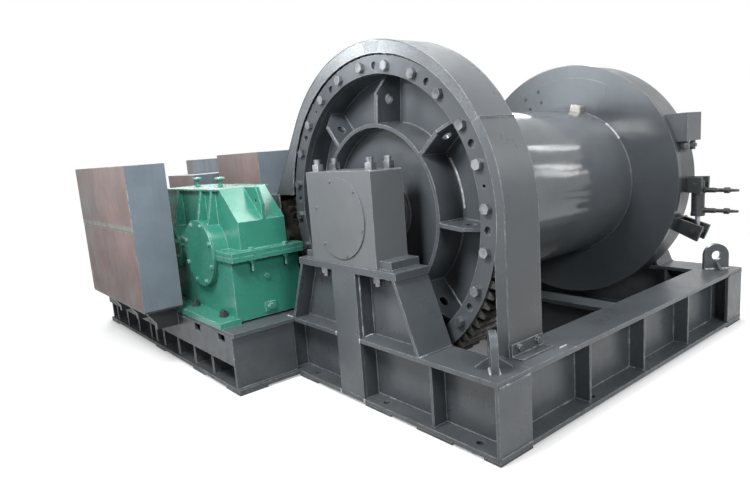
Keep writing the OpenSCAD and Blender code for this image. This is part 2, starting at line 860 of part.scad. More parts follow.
// Ring gear: toothed rim, bolting web in front with bolt, relief and jacking holes
module ring_gear() {
  half_pitch = 180 / gear_bolts;
  x_blind = gear_x0 + gear_web_t / 2;
  color("gray") difference() {
    union() {
      translate([0, 0, shaft_z]) along_x(gear_x0 + gear_lip, gear_x0 + gear_lip + gear_w)
        rotate(mesh_angle) gear_outline(gear_m, gear_z);
      bar_x(gear_root_r, gear_x0, gear_x0 + gear_lip);
    }
    bar_x(gear_in_r, gear_x0 - cut, end_x1);
    bar_x(gear_in_r + gear_shelf, gear_x0 + gear_web_t, end_x1 + cut);
    bars_round(gear_bolts, gear_bolt_phase, gear_bolt_r, bolt_r + loose_gap, gear_x0 - cut,
      gear_x0 + gear_web_t + cut);
    bars_round(gear_bolts / 2, gear_bolt_phase - half_pitch, gear_bolt_r, web_hole_r, gear_x0 - cut,
      x_blind);
    bars_round(3, gear_bolt_phase + half_pitch, gear_bolt_r, jack_hole_r, gear_x0 - cut, x_blind);
  }
}
module ring_gear_bolts() {
  color("silver") for (i = [0:gear_bolts - 1]) at_angle(gear_bolt_phase + i * 360 / gear_bolts)
    translate([gear_x0, 0, gear_bolt_r]) rotate([0, 90, 0]) {
      translate([0, 0, -fit_gap]) cylinder(r = bolt_r, h = 2 * gear_web_t + bolt_over);
      translate([0, 0, -bolt_head_h]) hex(bolt_head_af, bolt_head_h - fit_gap);
      translate([0, 0, 2 * gear_web_t + fit_gap]) hex(bolt_head_af, bolt_head_h);
    }
}

// Brake end of the drum: flange, brake rim, hub tube and ribs that face away from the barrel
module brake_end_disc() {
  x0 = barrel_x1;
  x1 = barrel_x1 + far_t;
  hub_x1 = rim_x1 - far_hub_in;
  color("dimgray") {
    difference() {
      union() {
        ring_x(far_flange_r, shaft_r + fit_gap, x0, x1);
        along_x(x0 - patch_t, x0) sector(patch_r[1], barrel_r, 62, 128);
        ring_x(rim_r, rim_r - rim_wall, x1, rim_x1);
        ring_x(far_hub_r, far_hub_r - hub_wall, x1, hub_x1);
        ring_x(boss_r, shaft_r + fit_gap, x1, hub_x1 + far_hub_in);
      }
      for (a = [107, 117], r = [patch_r[0] + clamp_hole_in[0], patch_r[1] - clamp_hole_in[1]]) at_angle(a)
        translate([x0 - patch_t - cut, 0, r]) rotate([0, 90, 0]) cylinder(r = clamp_hole_r,
          h = patch_t + far_t + 2 * cut);
    }
    for (i = [0:rib_count - 1]) mirror([1, 0, 0])
      end_rib(far_rib_in - hub_x1, -x1, far_hub_r, rim_r - rim_wall,
        far_rib_phase + i * 360 / rib_count, far_rib_shares);
  }
}

// Wedge that holds the rope's end in the corner of barrel and flange
module rope_anchor() {
  x1 = barrel_x1 - patch_t - butt_gap;
  color("lightgray") at_angle(75) difference() {
    translate([x1 - wedge_l, -wedge_w / 2, barrel_r - cut]) cube([wedge_l, wedge_w, wedge_h]);
    translate([x1 - wedge_l - cut, 0, 0]) rotate([0, 90, 0]) cylinder(r = barrel_r, h = wedge_l + 2 * cut);
    translate([x1 - wedge_l / 2, 0, barrel_r]) cylinder(r = wedge_hole_r, h = wedge_h + cut);
  }
}

// Band brake: two half bands joined by a hinge on the far side and drawn together by a cylinder
upper_a0 = split_a + split_half_a;
upper_a1 = 180 - hinge_gap_a;
lower_a0 = 180 + hinge_gap_a;
lower_a1 = 360 + split_a - split_half_a;
module band_part(r1, r0, a0, a1) {
  along_x(band_x0, band_x1) sector(r1, r0, a0, a1, 32);
}
// Lug plates on a band's end, in two cheeks beside the cylinder, bored for its pins
module end_lug(a0, a1, r1, pin_z) {
  difference() {
    for (x = [cyl_x - cheek_in - cheek_t, cyl_x + cheek_in])
      along_x(x, x + cheek_t) sector(r1, band_out_r - fit_gap, a0, a1, 6);
    bar_x(trunnion_r + fit_gap, cyl_x - cheek_in - cheek_t - cut, cyl_x + cheek_in + cheek_t + cut,
      cyl_y, pin_z);
  }
}
// An eye of the hinge with its root on the band, between angles a0 and a1
module hinge_eye(x0, x1, a0, a1) {
  difference() {
    union() {
      bar_x(hinge_r + hinge_wall, x0, x1, hinge_y);
      along_x(x0, x1) sector(hinge_y + hinge_root, band_out_r - fit_gap, a0, a1, 6);
    }
    bar_x(hinge_r + fit_gap, x0 - cut, x1 + cut, hinge_y);
    bar_x(band_r + 2 * band_t / 3, x0 - cut, x1 + cut);
  }
}
module brake_band_upper() {
  color("dimgray") {
    band_part(band_out_r, band_r + fit_gap, upper_a0, upper_a1);
    end_lug(upper_a0, upper_a0 + 6.5, band_out_r + lug_out[0], cyl_z1);
    for (x = [band_x0 + hinge_in[0], band_x1 - hinge_in[1]]) hinge_eye(x, x + hinge_w, upper_a1 - 4,
      upper_a1 + 3);
  }
}
module brake_lining_upper() {
  color("saddlebrown") band_part(band_r, lining_r, upper_a0 + 1, upper_a1 - 1);
}
module brake_band_lower() {
  color("dimgray") {
    band_part(band_out_r, band_r + fit_gap, lower_a0, lower_a1);
    end_lug(lower_a1 - 6, lower_a1, band_out_r + lug_out[1], eye_z);
    hinge_eye(band_x0 + hinge_mid_in, band_x1 - hinge_mid_in, lower_a0 - 3, lower_a0 + 4);
  }
}
module brake_lining_lower() {
  color("saddlebrown") band_part(band_r, lining_r, lower_a0 + 1, lower_a1 - 1);
}
module band_hinge_pin() {
  x0 = band_x0 + hinge_pin_in;
  color("silver") {
    bar_x(hinge_r, x0, band_x1 - hinge_pin_in, hinge_y);
    bar_x(hinge_head_r, x0 - hinge_head, x0, hinge_y);
  }
}

// Anchor box on the upper band with its two adjusting bolts
module brake_anchor_box() {
  box_l = band_x1 - band_x0 + anchor_box_over;
  xc = (band_x0 + band_x1) / 2;
  y_out = -band_out_r - anchor_box_out;
  zr = shaft_z + band_out_r * sin(anchor_box_a);
  z0 = zr - anchor_box_h / 2;
  color("dimgray") difference() {
    slab([xc - box_l / 2, xc + box_l / 2], [y_out, y_out + anchor_box_depth], [z0, z0 + anchor_box_h]);
    bar_x(band_out_r + fit_gap, xc - box_l, xc + box_l);
  }
  color("silver") for (e = [-1, 1]) translate([xc + e * box_l / 4, y_out + adjuster_in, z0 - adjuster_l]) {
    cylinder(r = adjuster_r, h = adjuster_l);
    translate([0, 0, adjuster_nut_up]) hex(adjuster_af, adjuster_nut_h);
  }
}

// Double-acting cylinder between the ends of the band; its rod draws the lower half shut
cyl_z1 = shaft_z - (band_out_r + trunnion_up) * sin(-upper_a0 - 3.2);
cyl_z0 = cyl_z1 - cyl_l;
eye_z = shaft_z + cyl_y * tan(360 - lower_a1 + 3);
port_z = [cyl_z0 + port_in[0], cyl_z1 - trunnion_r - port_in[1]];
pin_x0 = cyl_x - cheek_in - cheek_t - pin_over;
pin_x1 = cyl_x + cheek_in + cheek_t + pin_over;
module brake_cylinder() {
  color("gray") difference() {
    union() {
      translate([cyl_x, cyl_y, cyl_z0]) cylinder(r = cyl_r, h = cyl_l + trunnion_r + cyl_head);
      bar_x(trunnion_r, pin_x0, pin_x1, cyl_y, cyl_z1);
      translate([cyl_x, cyl_y, cyl_z0]) cylinder(r = cyl_r + collar_t, h = collar_h);
      for (z = port_z) translate([cyl_x, cyl_y, z]) rotate([90, 0, 0]) cylinder(r = port_r,
        h = cyl_r + port_out);
    }
    translate([cyl_x, cyl_y, cyl_z0 + gland_h])
      cylinder(r = piston_r, h = cyl_l - trunnion_r - piston_room - gland_h);
    translate([cyl_x, cyl_y, cyl_z0 - cut]) cylinder(r = rod_r + fit_gap, h = gland_cut);
  }
}
module brake_rod() {
  rod_z0 = eye_z + trunnion_r + eye_gap + fit_gap;
  color("silver") {
    difference() {
      bar_x(eye_r, cyl_x - cheek_in + eye_flat, cyl_x + cheek_in - eye_flat, cyl_y, eye_z);
      bar_x(trunnion_r + eye_gap, cyl_x - cheek_in, cyl_x + cheek_in, cyl_y, eye_z);
    }
    translate([cyl_x, cyl_y, rod_z0]) cylinder(r = rod_r, h = cyl_z0 + piston_up - rod_z0);
    translate([cyl_x, cyl_y, cyl_z0 + piston_up]) cylinder(r = piston_r - fit_gap, h = piston_w);
  }
}
module brake_rod_pin() {
  color("silver") {
    bar_x(trunnion_r, pin_x0, pin_x1, cyl_y, eye_z);
    bar_x(trunnion_r + pin_over, pin_x0 - pin_head, pin_x0, cyl_y, eye_z);
  }
}
// Hose tails screwed into the cylinder's two ports
module brake_hose_fittings() {
  r = tail_r_shares * tail_l;
  x = tail_x_shares * tail_l;
  color("dimgray") for (z = port_z) translate([cyl_x, cyl_y - cyl_r - port_out, z]) rotate([90, 0, 0])
    rotate_extrude($fn = 32) polygon([[0, 0], [r[0], 0], [r[0], x[0]], [r[1], x[1]], [r[1], x[2]],
      [r[2], x[3]],
      [r[2], x[4]], [r[3], x[5]], [r[4], tail_l], [0, tail_l]]);
}

// Guard over the ring gear: a top sheet rolled round a centre a little above the drum axis,
// with side sheets that hide the teeth, and a straight stretch down to the pinion box
module arch_disc(r) {
  translate(arch_c) circle(r = r, $fn = 180);
}
module arch_zone() {
  far_r = 2 * arch_r;
  polygon([[0, shaft_z], [-far_r * cos(arch_a0), shaft_z + far_r * sin(arch_a0)], [0, shaft_z + far_r],
    arch_c + far_r * [-cos(arch_a1 + arch_lap), sin(arch_a1 + arch_lap)], arch_c]);
}
function arch_end(r) =
  let (c = -cos(arch_a1), s = sin(arch_a1), p = arch_c + r * [c, s])
  [p, [p[0] + (p[1] - box_top_z) * s / c, box_top_z]];
module guard_face() {
  edge = arch_end(arch_r - arch_t / 2);
  difference() {
    union() {
      intersection() {
        arch_disc(arch_r - arch_t / 2);
        arch_zone();
      }
      polygon([arch_c, edge[0], edge[1], [guard_in_r / 2, box_top_z]]);
    }
    translate([0, shaft_z]) circle(r = guard_in_r, $fn = 180);
  }
}
module guard_arch() {
  outer = arch_end(arch_r);
  inner = arch_end(arch_r - arch_t);
  color("gray") {
    along_x(guard_x0, guard_x1) {
      intersection() {
        difference() {
          arch_disc(arch_r);
          arch_disc(arch_r - arch_t);
        }
        arch_zone();
      }
      polygon([outer[0], outer[1], inner[1], inner[0]]);
    }
    along_x(guard_x0, guard_x0 + face_t) guard_face();
    along_x(guard_x1 - face_t, guard_x1) guard_face();
  }
}

// Leg on the near side, with a front sheet whose inner edge ends in a straight drop
strip_share = 0.82;
module guard_leg() {
  in_r = leg_r - guard_t;
  mid_r = leg_r - guard_t / 2;
  leg_in_y = guard_in_r * cos(leg_low_a);
  leg_h = shaft_z - frame_h;
  top_a = arch_a0 - fit_gap;
  color("gray") {
    along_x(guard_x0, guard_x1) {
      sector(leg_r, in_r, 0, top_a, 16);
      sector(leg_r + leg_lap, in_r, top_a - 0.6, top_a, 2);
      translate([-leg_r, frame_h]) square([guard_t, leg_h]);
    }
    along_x(guard_x0, guard_x0 + face_t) difference() {
      union() {
        sector(mid_r, guard_in_r - cut, 0, top_a, 16);
        translate([-mid_r, frame_h]) square([mid_r - leg_in_y, leg_h]);
      }
      translate([0, shaft_z]) circle(r = guard_in_r, $fn = 180);
    }
    along_x(guard_x1 - guard_t, guard_x1)
      translate([-in_r, frame_h]) square([leg_strip, strip_share * leg_h]);
  }
}
// Box over the open pinion, standing on the motor base
module guard_pinion_box() {
  in_y = y_side + run_gap;
  corner = pinion_r / 2;
  top = box_top_z - run_gap;
  color("gray") difference() {
    along_x(guard_x0, guard_x1) polygon([
      [in_y, frame_h], [box_out_y, frame_h], [box_out_y, top - corner], [box_out_y - corner, top],
        [in_y, top]]);
    along_x(guard_x0 + guard_t, guard_x1 - guard_t) polygon([
      [in_y - cut, frame_h - cut], [box_out_y - guard_t, frame_h - cut], [box_out_y - guard_t,
        top - corner - guard_t / 2],
      [box_out_y - corner - guard_t / 2, top - guard_t], [in_y - cut, top - guard_t]]);
    bar_x(output_r + slot_room, guard_x0 - cut, guard_x1 + cut, pinion_y, box_z);
  }
}
// Angle brackets that bolt the leg to the side beam
module guard_feet() {
  color("gray") along_x(guard_x0 + guard_foot_in, guard_x1 - guard_foot_in) translate([-leg_r, frame_h]) polygon([
    [0, 0], [-guard_foot_l, 0], [-guard_foot_l, guard_foot_t], [-guard_foot_t, guard_foot_t],
    [-guard_foot_t, guard_foot_l], [0, guard_foot_l]]);
  color("silver") for (e = [-1, 1])
    translate([(guard_x0 + guard_x1) / 2 + e * guard_bolt_x, -leg_r - guard_foot_t,
      frame_h + 2 * guard_foot_l / 3])
      rotate([90, 0, 0]) hex(guard_bolt_af, guard_bolt_h);
}

// Gearbox housing, parted at the shafts' height
module housing_bores() {
  bar_x(low_bearing_r, boss_x0 - cut, boss_x1 + cut, pinion_y, box_z);
  bar_x(high_bearing_r, boss_x0 - cut, boss_x1 + cut, input_y, box_z);
}
// Bosses round both shafts, kept between two heights
module housing_bosses(z0, z1) {
  intersection() {
    union() {
      bar_x(low_cover_r - boss_in, boss_x0, boss_x1, pinion_y, box_z);
      bar_x(high_cover_r - boss_in, boss_x0, boss_x1, input_y, box_z);
    }
    slab([boss_x0 - cut, boss_x1 + cut], [box_y0, box_y1], [z0, z1]);
  }
}
module joint_flange(z0, z1) {
  slab([box_x0 - joint_side[0], box_x1 + joint_side[1]], [box_y0 - joint_out, box_y1 + joint_out], [z0,
    z1]);
}
module gearbox_lower() {
  foot_z = [frame_h, frame_h + foot_t];
  color("seagreen") difference() {
    union() {
      slab([box_x0, box_x1], [box_y0, box_y1], [frame_h + box_lift, box_z - joint_t / 2]);
      slab([foot_x0, box_x0 + box_wall], [box_y0 - foot_near, box_y1 + foot_far], foot_z);
      slab([box_x1 - box_wall, foot_x1], [box_y0, box_y1 + foot_far], foot_z);
      joint_flange(box_z - joint_t / 2, box_z);
      housing_bosses(frame_h + foot_t, box_z);
    }
    slab([box_x0 + box_wall, box_x1 - box_wall], [box_y0 + box_wall, box_y1 - box_wall],
      [frame_h + floor_t, box_z + cut]);
    housing_bores();
    foot_bolt_places() translate([0, 0, frame_h - cut]) cylinder(r = foot_bolt_r + 2 * loose_gap,
      h = foot_t + 2 * cut);
  }
}
module foot_bolt_places() {
  for (y = foot_bolt_y) translate([foot_x0 + foot_bolt_in[0], y, 0]) children();
  for (i = [1:3]) translate([foot_x1 - foot_bolt_in[1], foot_bolt_y[i], 0]) children();
}
module gearbox_upper() {
  z1 = box_z + joint_t / 2;
  eave_z = box_z + eave_up;
  rim = box_wall / 2;
  roof_y = [box_y0 + roof_run, box_y1 - far_chamfer];
  roof_x = [hood_x0 - roof_out, hood_x1 + roof_out];
  gusset_y = [pinion_y - low_cover_r / 2, pinion_y + low_cover_r / 4, input_y - high_cover_r / 4];
  color("mediumseagreen") difference() {
    union() {
      joint_flange(box_z, z1);
      along_x(hood_x0, hood_x1) polygon([
        [box_y0, z1], [box_y0, eave_z], [roof_y[0], top_z], [roof_y[1], top_z],
        [box_y1, top_z - far_chamfer], [box_y1, z1]]);
      housing_bosses(box_z, top_z);
      slab(roof_x, roof_y, [top_z - roof_t, top_z]);
      for (y = gusset_y) along_y(y, y + gusset_t) polygon([
        [box_x0, z1 + gusset_up], [roof_x[0], top_z - roof_t], [roof_x[1], top_z - roof_t], [box_x1,
          z1 + gusset_up],
        [box_x1, z1], [box_x0, z1]]);
      roof_lug();
    }
    along_x(hood_x0 + box_wall, hood_x1 - box_wall) polygon([
      [box_y0 + box_wall, box_z - cut], [box_y0 + box_wall, eave_z - rim], [roof_y[0] + rim,
        top_z - box_wall],
      [roof_y[1] - rim, top_z - box_wall], [box_y1 - box_wall, top_z - far_chamfer - rim],
        [box_y1 - box_wall, box_z - cut]]);
    housing_bores();
  }
}
// Lifting rib on the sloping roof
module roof_lug() {
  xc = (hood_x0 + hood_x1) / 2 + roof_lug_x;
  z0 = box_z + eave_up;
  slope = (top_z - z0) / roof_run;
  difference() {
    along_x(xc - roof_lug_t / 2, xc + roof_lug_t / 2) polygon([
      [box_y0, z0 - cut], [box_y0, z0 + roof_lug_h], [box_y0 + roof_lug_in + roof_lug_x, top_z - cut],
      [box_y0 + roof_run, top_z - cut], [box_y0 + roof_run / 2, z0 + slope * roof_run / 2 - cut]]);
    bar_x(roof_hole_r, xc - roof_lug_t, xc + roof_lug_t, box_y0 + roof_lug_in + roof_hole_in,
      z0 + roof_hole_up);
  }
}

// A cover with its screws; it faces the side given by dir
module cover_disc(x0, x1, y, r, hole, dir) {
  screws = 8;
  difference() {
    bar_x(r, x0, x1, y, box_z);
    if (hole > 0) bar_x(hole, x0 - cut, x1 + cut, y, box_z);
  }
  for (i = [0:screws - 1]) translate([dir < 0 ? x0 - box_screw_h : x1, y, box_z])
    rotate([(i + 0.5) * 360 / screws, 0, 0]) translate([0, 0, r - box_screw_in]) rotate([0, 90, 0])
      hex(box_screw_af, box_screw_h);
}
module gearbox_covers() {
  xf = [boss_x0 - box_cover_t, boss_x0];
  xr = [boss_x1, boss_x1 + box_cover_t];
  color("mediumseagreen") {
    cover_disc(xf[0], xf[1], pinion_y, low_cover_r, 0, -1);
    cover_disc(xf[0], xf[1], input_y, high_cover_r, 0, -1);
    cover_disc(xr[0], xr[1], pinion_y, low_cover_r, output_r + run_gap, 1);
    cover_disc(xr[0], xr[1], input_y, high_cover_r, input_r + run_gap, 1);
  }
}
// Long bolts that hang below the joint flange's overhangs
module gearbox_joint_bolts() {
  z1 = box_z - joint_t / 2;
  color("seagreen") for (y = [box_y0 - joint_out / 2, box_y1 + joint_out / 2], x = joint_bolt_in) translate([box_x0 + x, y, z1]) {
    translate([0, 0, -joint_bolt_l]) cylinder(r = joint_bolt_r, h = joint_bolt_l);
    translate([0, 0, -joint_nut_h]) hex(joint_bolt_af, joint_nut_h);
    translate([0, 0, joint_t]) hex(joint_bolt_af, joint_nut_h);
  }
}
module gearbox_foot_bolts() {
  z1 = frame_h + foot_t;
  color("dimgray") foot_bolt_places() {
    translate([0, 0, z1]) cylinder(r = washer_r, h = washer_t);
    translate([0, 0, z1 + washer_t]) hex(foot_bolt_af, foot_nut_h);
    translate([0, 0, deck_z0 - foot_nut_h - foot_bolt_over])
      cylinder(r = foot_bolt_r, h = z1 - deck_z0 + 2 * (foot_nut_h + foot_bolt_over) + washer_t);
    translate([0, 0, deck_z0 - foot_nut_h]) hex(foot_bolt_af, foot_nut_h);
  }
}
module gearbox_fittings() {
  box_l = box_y1 - box_y0;
  drain_z = frame_h + foot_t + drain_h / 2;
  color("mediumseagreen") {
    for (s = vent_y_shares) translate([(hood_x0 + hood_x1) / 2, box_y0 + s * box_l, top_z])
      rotate_extrude($fn = 32)
      polygon([[0, 0], [vent_r[0], 0], [vent_r[0], vent_h[0]], [vent_r[1], vent_h[0]], [vent_r[1],
        vent_h[1]],
        [vent_r[2], vent_h[1]], [vent_r[3], vent_h[2]], [vent_r[2], vent_h[3]], [0, vent_h[4]]]);
    translate([box_x0 + plug_x, box_y0 - plug_h, box_z - plug_down]) rotate([-90, 0, 0]) hex(plug_af,
      plug_h);
    slab(box_x0 * [1, 1] + drain_x, [box_y0 - drain_t, box_y0], [frame_h + foot_t,
      frame_h + foot_t + drain_h]);
    translate([box_x0 + (drain_x[0] + drain_x[1]) / 2, box_y0 - drain_t - drain_plug_h, drain_z])
      rotate([-90, 0, 0]) hex(drain_af, drain_plug_h);
  }
}
// Each bearing of the gearbox stands as one ring
module gearbox_bearings() {
  for_x = [box_x0 + box_bearing_in, box_x1 - box_bearing_in - box_bearing_w];
  color("silver") for (x = for_x) {
    ring_x(low_bearing_r - fit_gap, output_r + fit_gap, x, x + box_bearing_w, pinion_y, box_z);
    ring_x(high_bearing_r - fit_gap, input_r + fit_gap, x, x + box_bearing_w, input_y, box_z);
  }
}

// Shafts and gears of the drive
out_brg_x0 = guard_x1 + out_brg_in;
out_brg_x1 = out_brg_x0 + out_brg_w;
wheel_x0 = box_x0 + wheel_in;
wheel_x1 = wheel_x0 + wheel_w;
module output_shaft() {
  color("silver") bar_x(output_r, box_x0 + shaft_end_in, out_brg_x1 + out_shaft_over, pinion_y, box_z);
}
module output_wheel() {
  lightening = 6;
  mid_r = (output_r + box_m * wheel_z / 2) / 2;
  color("silver") difference() {
    translate([0, pinion_y, box_z]) along_x(wheel_x0, wheel_x1) gear_outline(box_m, wheel_z);
    bar_x(output_r + fit_gap, wheel_x0 - cut, wheel_x1 + cut, pinion_y, box_z);
    for (i = [0:lightening - 1]) let (a = i * 360 / lightening)
      bar_x(wheel_hole_r, wheel_x0 - cut, wheel_x1 + cut, pinion_y + mid_r * sin(a),
        box_z + mid_r * cos(a));
  }
}
module open_pinion() {
  x0 = gear_x0 + gear_lip;
  x1 = x0 + gear_w + pinion_over;
  color("silver") difference() {
    translate([0, pinion_y, box_z]) along_x(x0, x1)
      rotate(mesh_angle + 180 + 180 / pinion_z) gear_outline(gear_m, pinion_z);
    bar_x(output_r + fit_gap, x0 - cut, x1 + cut, pinion_y, box_z);
  }
}
module input_pinion_shaft() {
  x0 = wheel_x0 - pinion_shoulder;
  x1 = wheel_x1 + pinion_shoulder;
  color("silver") {
    bar_x(input_r, box_x0 + shaft_end_in, x0, input_y, box_z);
    translate([0, input_y, box_z]) along_x(x0, x1) rotate(180 + 180 / input_z) gear_outline(box_m, input_z);
    bar_x(input_r, x1, input_x1, input_y, box_z);
  }
}
module outboard_bearing() {
  color("gray") difference() {
    along_x(out_brg_x0, out_brg_x1) {
      translate([pinion_y, box_z]) circle(r = out_brg_r, $fn = 96);
      translate([pinion_y, 0]) polygon([
        [-out_brg_half_w, frame_h], [out_brg_half_w, frame_h], [out_brg_half_w, frame_h + out_brg_foot],
        [out_brg_r, box_z], [-out_brg_r, box_z], [-out_brg_half_w, frame_h + out_brg_foot]]);
    }
    bar_x(output_r + fit_gap, out_brg_x0 - cut, out_brg_x1 + cut, pinion_y, box_z);
  }
}

// Drive base: decks of one height on posts, with an apron along the outer side
seat_x1 = x_front + flange_w;
module base_pad(x, y) {
  translate([x, y, 0]) cube([base_pad, base_pad, pad_t]);
}
// Posts at an even pitch along the base, from y0 to y1
module base_posts(x0, x1, y0, y1) {
  for (i = [0:floor((base_y1 - post_y0) / post_pitch)]) let (y = post_y0 + i * post_pitch)
    if (y > y0 && y + web_t < y1) slab([x0, x1], [y, y + web_t], [web_z0, deck_z0]);
}
module gearbox_seat() {
  x_in = x_front - butt_gap;
  y_in = y_side + butt_gap;
  y_web = base_y0 + side_in;
  color("dimgray") difference() {
    union() {
      for (z = [[pad_t, web_z0], [deck_z0, frame_h]]) {
        slab([base_x0, x_in], [base_y0, seat_y1], z);
        slab([x_in, seat_x1], [y_in, seat_y1], z);
      }
      slab([base_x0, base_x0 + plate_t], [y_web, seat_y1], [apron_z0, deck_z0]);
      slab([base_x0, x_in], [y_web, y_web + plate_t], [web_z0, deck_z0]);
      slab([x_in - web_t, x_in], [y_web, seat_y1], [web_z0, deck_z0]);
      slab([base_x0 + plate_t, seat_x1], [seat_y1 - web_t, seat_y1], [web_z0, deck_z0]);
      base_posts(base_x0 + plate_t, x_in, base_y0, seat_y1 - web_t);
      for (y = [base_y0, base_y0 + mid_pad_in, seat_y1 - base_pad]) base_pad(base_x0, y);
    }
    for (s = slot_in) translate([base_x0 - cut, box_y0 + s - slot_w / 2, deck_z0 - slot_h])
      cube([plate_t + 2 * cut, slot_w, slot_h]);
    for (y = [base_y0 + base_anchor_in, seat_y1 - base_anchor_in])
      translate([base_x0 + anchor_in, y, -cut]) cylinder(r = anchor_r, h = web_z0 + 2 * cut);
    foot_bolt_places() translate([0, 0, deck_z0 - cut]) cylinder(r = foot_bolt_r + 2 * loose_gap,
      h = flange_t + 2 * cut);
  }
}
module valve_base() {
  y0 = seat_y1 + butt_gap;
  color("dimgray") {
    for (z = [[pad_t, web_z0], [deck_z0, frame_h]]) slab([base_x0, seat_x1], [y0, base_y1], z);
    slab([base_x0, base_x0 + plate_t], [y0, base_y1], [apron_z0, deck_z0]);
    slab([seat_x1 - web_t, seat_x1], [y0, base_y1], [web_z0, deck_z0]);
    for (y = [y0, base_y1 - web_t]) slab([base_x0 + plate_t, seat_x1], [y, y + web_t], [web_z0, deck_z0]);
    base_posts(base_x0 + plate_t, seat_x1, y0 + web_t, base_y1 - web_t);
    for (x = [base_x0, seat_x1 - base_pad]) base_pad(x, base_y1 - base_pad);
  }
}
module motor_base() {
  x0 = seat_x1 + butt_gap;
  y0 = y_side + butt_gap;
  step = (base_y1 - y0 - web_t) / cross_webs;
  color("dimgray") {
    slab([x0, base_x1], [y0, base_y1], [deck_z0, frame_h]);
    for (x = [x0, (x0 + base_x1) / 2, base_x1 - web_t]) slab([x, x + web_t], [y0, base_y1], [web_z0,
      deck_z0]);
    for (i = [0:cross_webs]) slab([x0, base_x1], [y0 + i * step, y0 + i * step + web_t], [web_z0, deck_z0]);
    for (x = [x0, base_x1 - flange_w]) slab([x, x + flange_w], [y0, base_y1], [pad_t, web_z0]);
    for (y = [y0, base_y1 - base_pad]) base_pad(base_x1 - base_pad, y);
  }
}

// Hydraulic drive
module shaft_coupling() {
  x0 = input_x1 - coupling_in;
  x1 = input_x1 + coupling_l;
  xg = input_x1 + coupling_gap;
  color("silver") {
    difference() {
      union() {
        bar_x(coupling_r, x0, x1, input_y, box_z);
        bar_x(coupling_flange_r, input_x1 - coupling_flange_t, input_x1, input_y, box_z);
        bar_x(coupling_flange_r, xg, xg + coupling_flange_t, input_y, box_z);
      }
      bar_x(input_r + fit_gap, x0 - cut, x1 + cut, input_y, box_z);
    }
    bar_x(input_r, input_x1 + 2 * coupling_gap, motor_face_x + motor_shaft_l, input_y, box_z);
    for (i = [0:5]) translate([input_x1 - coupling_pin_in, input_y, box_z]) rotate([i * 60, 0, 0])
      translate([0, 0, coupling_pin_at]) rotate([0, 90, 0]) {
        cylinder(r = coupling_pin_r, h = coupling_pin_l);
        hex(coupling_nut_af, coupling_nut_h);
      }
  }
}
// Axial piston motor, bolted to a bracket plate that stands on the motor base
module hydraulic_motor() {
  x1 = motor_face_x + motor_l;
  port_z0 = box_z + motor_r;
  color("slategray") difference() {
    union() {
      bar_x(motor_pilot_r, motor_face_x - bracket_t, motor_face_x, input_y, box_z);
      bar_x(motor_flange_r, motor_face_x, motor_face_x + bracket_t, input_y, box_z);
      bar_x(motor_r, motor_face_x + bracket_t, x1, input_y, box_z);
      slab([x1, x1 + motor_block_l], [input_y - motor_r, input_y + motor_r], [box_z - motor_r, port_z0]);
      for (e = [-1, 1]) translate([x1 + motor_block_l / 2, input_y + e * motor_r / 2, port_z0 - cut])
        cylinder(r = motor_port_r + port_wall, h = port_h);
    }
    bar_x(input_r + shaft_room, motor_face_x - bracket_t - cut,
      motor_face_x + motor_shaft_l + shaft_room, input_y, box_z);
    for (e = [-1, 1]) translate([x1 + motor_block_l / 2, input_y + e * motor_r / 2, port_z0 - port_depth])
      cylinder(r = motor_port_r, h = port_depth + port_h + cut);
  }
}
module motor_bracket() {
  w = bracket_half_w;
  foot_x1 = motor_face_x + bracket_foot_l;
  foot_z1 = frame_h + plate_t;
  color("dimgray") {
    difference() {
      along_x(motor_face_x - bracket_t, motor_face_x) {
        translate([input_y - w, frame_h]) square([2 * w, box_z - frame_h]);
        intersection() {
          translate([input_y, box_z]) circle(r = bracket_top_r, $fn = 96);
          translate([input_y - w, box_z - bracket_top_r]) square([2 * w, 2 * bracket_top_r]);
        }
      }
      bar_x(motor_pilot_r + fit_gap, motor_face_x - bracket_t - cut, motor_face_x + cut, input_y, box_z);
    }
    slab([motor_face_x, foot_x1], [input_y - w, input_y + w], [frame_h, foot_z1]);
    for (y = [input_y - w, input_y + w - bracket_gusset_t]) along_y(y, y + bracket_gusset_t) polygon([
      [motor_face_x, foot_z1], [foot_x1, foot_z1], [motor_face_x, box_z - bracket_drop]]);
  }
}
// A hood of sheet, open below, or a closed tank with a floor
module hood(x, y, z, floor = -cut) {
  difference() {
    slab(x, y, z);
    slab([x[0] + sheet_t, x[1] - sheet_t], [y[0] + sheet_t, y[1] - sheet_t], [z[0] + floor,
      z[1] - sheet_t]);
  }
}
module valve_hood() {
  y1 = valve_y0 + valve_hood_l;
  color("rosybrown") {
    hood([valve_x0, valve_x1], [valve_y0, y1], [valve_z0, hood_top_z]);
    slab([valve_x0 - seam_t, valve_x0], [valve_y0 + seam_in, y1 - seam_in], [seam_z, hood_top_z - seam_in]);
  }
}
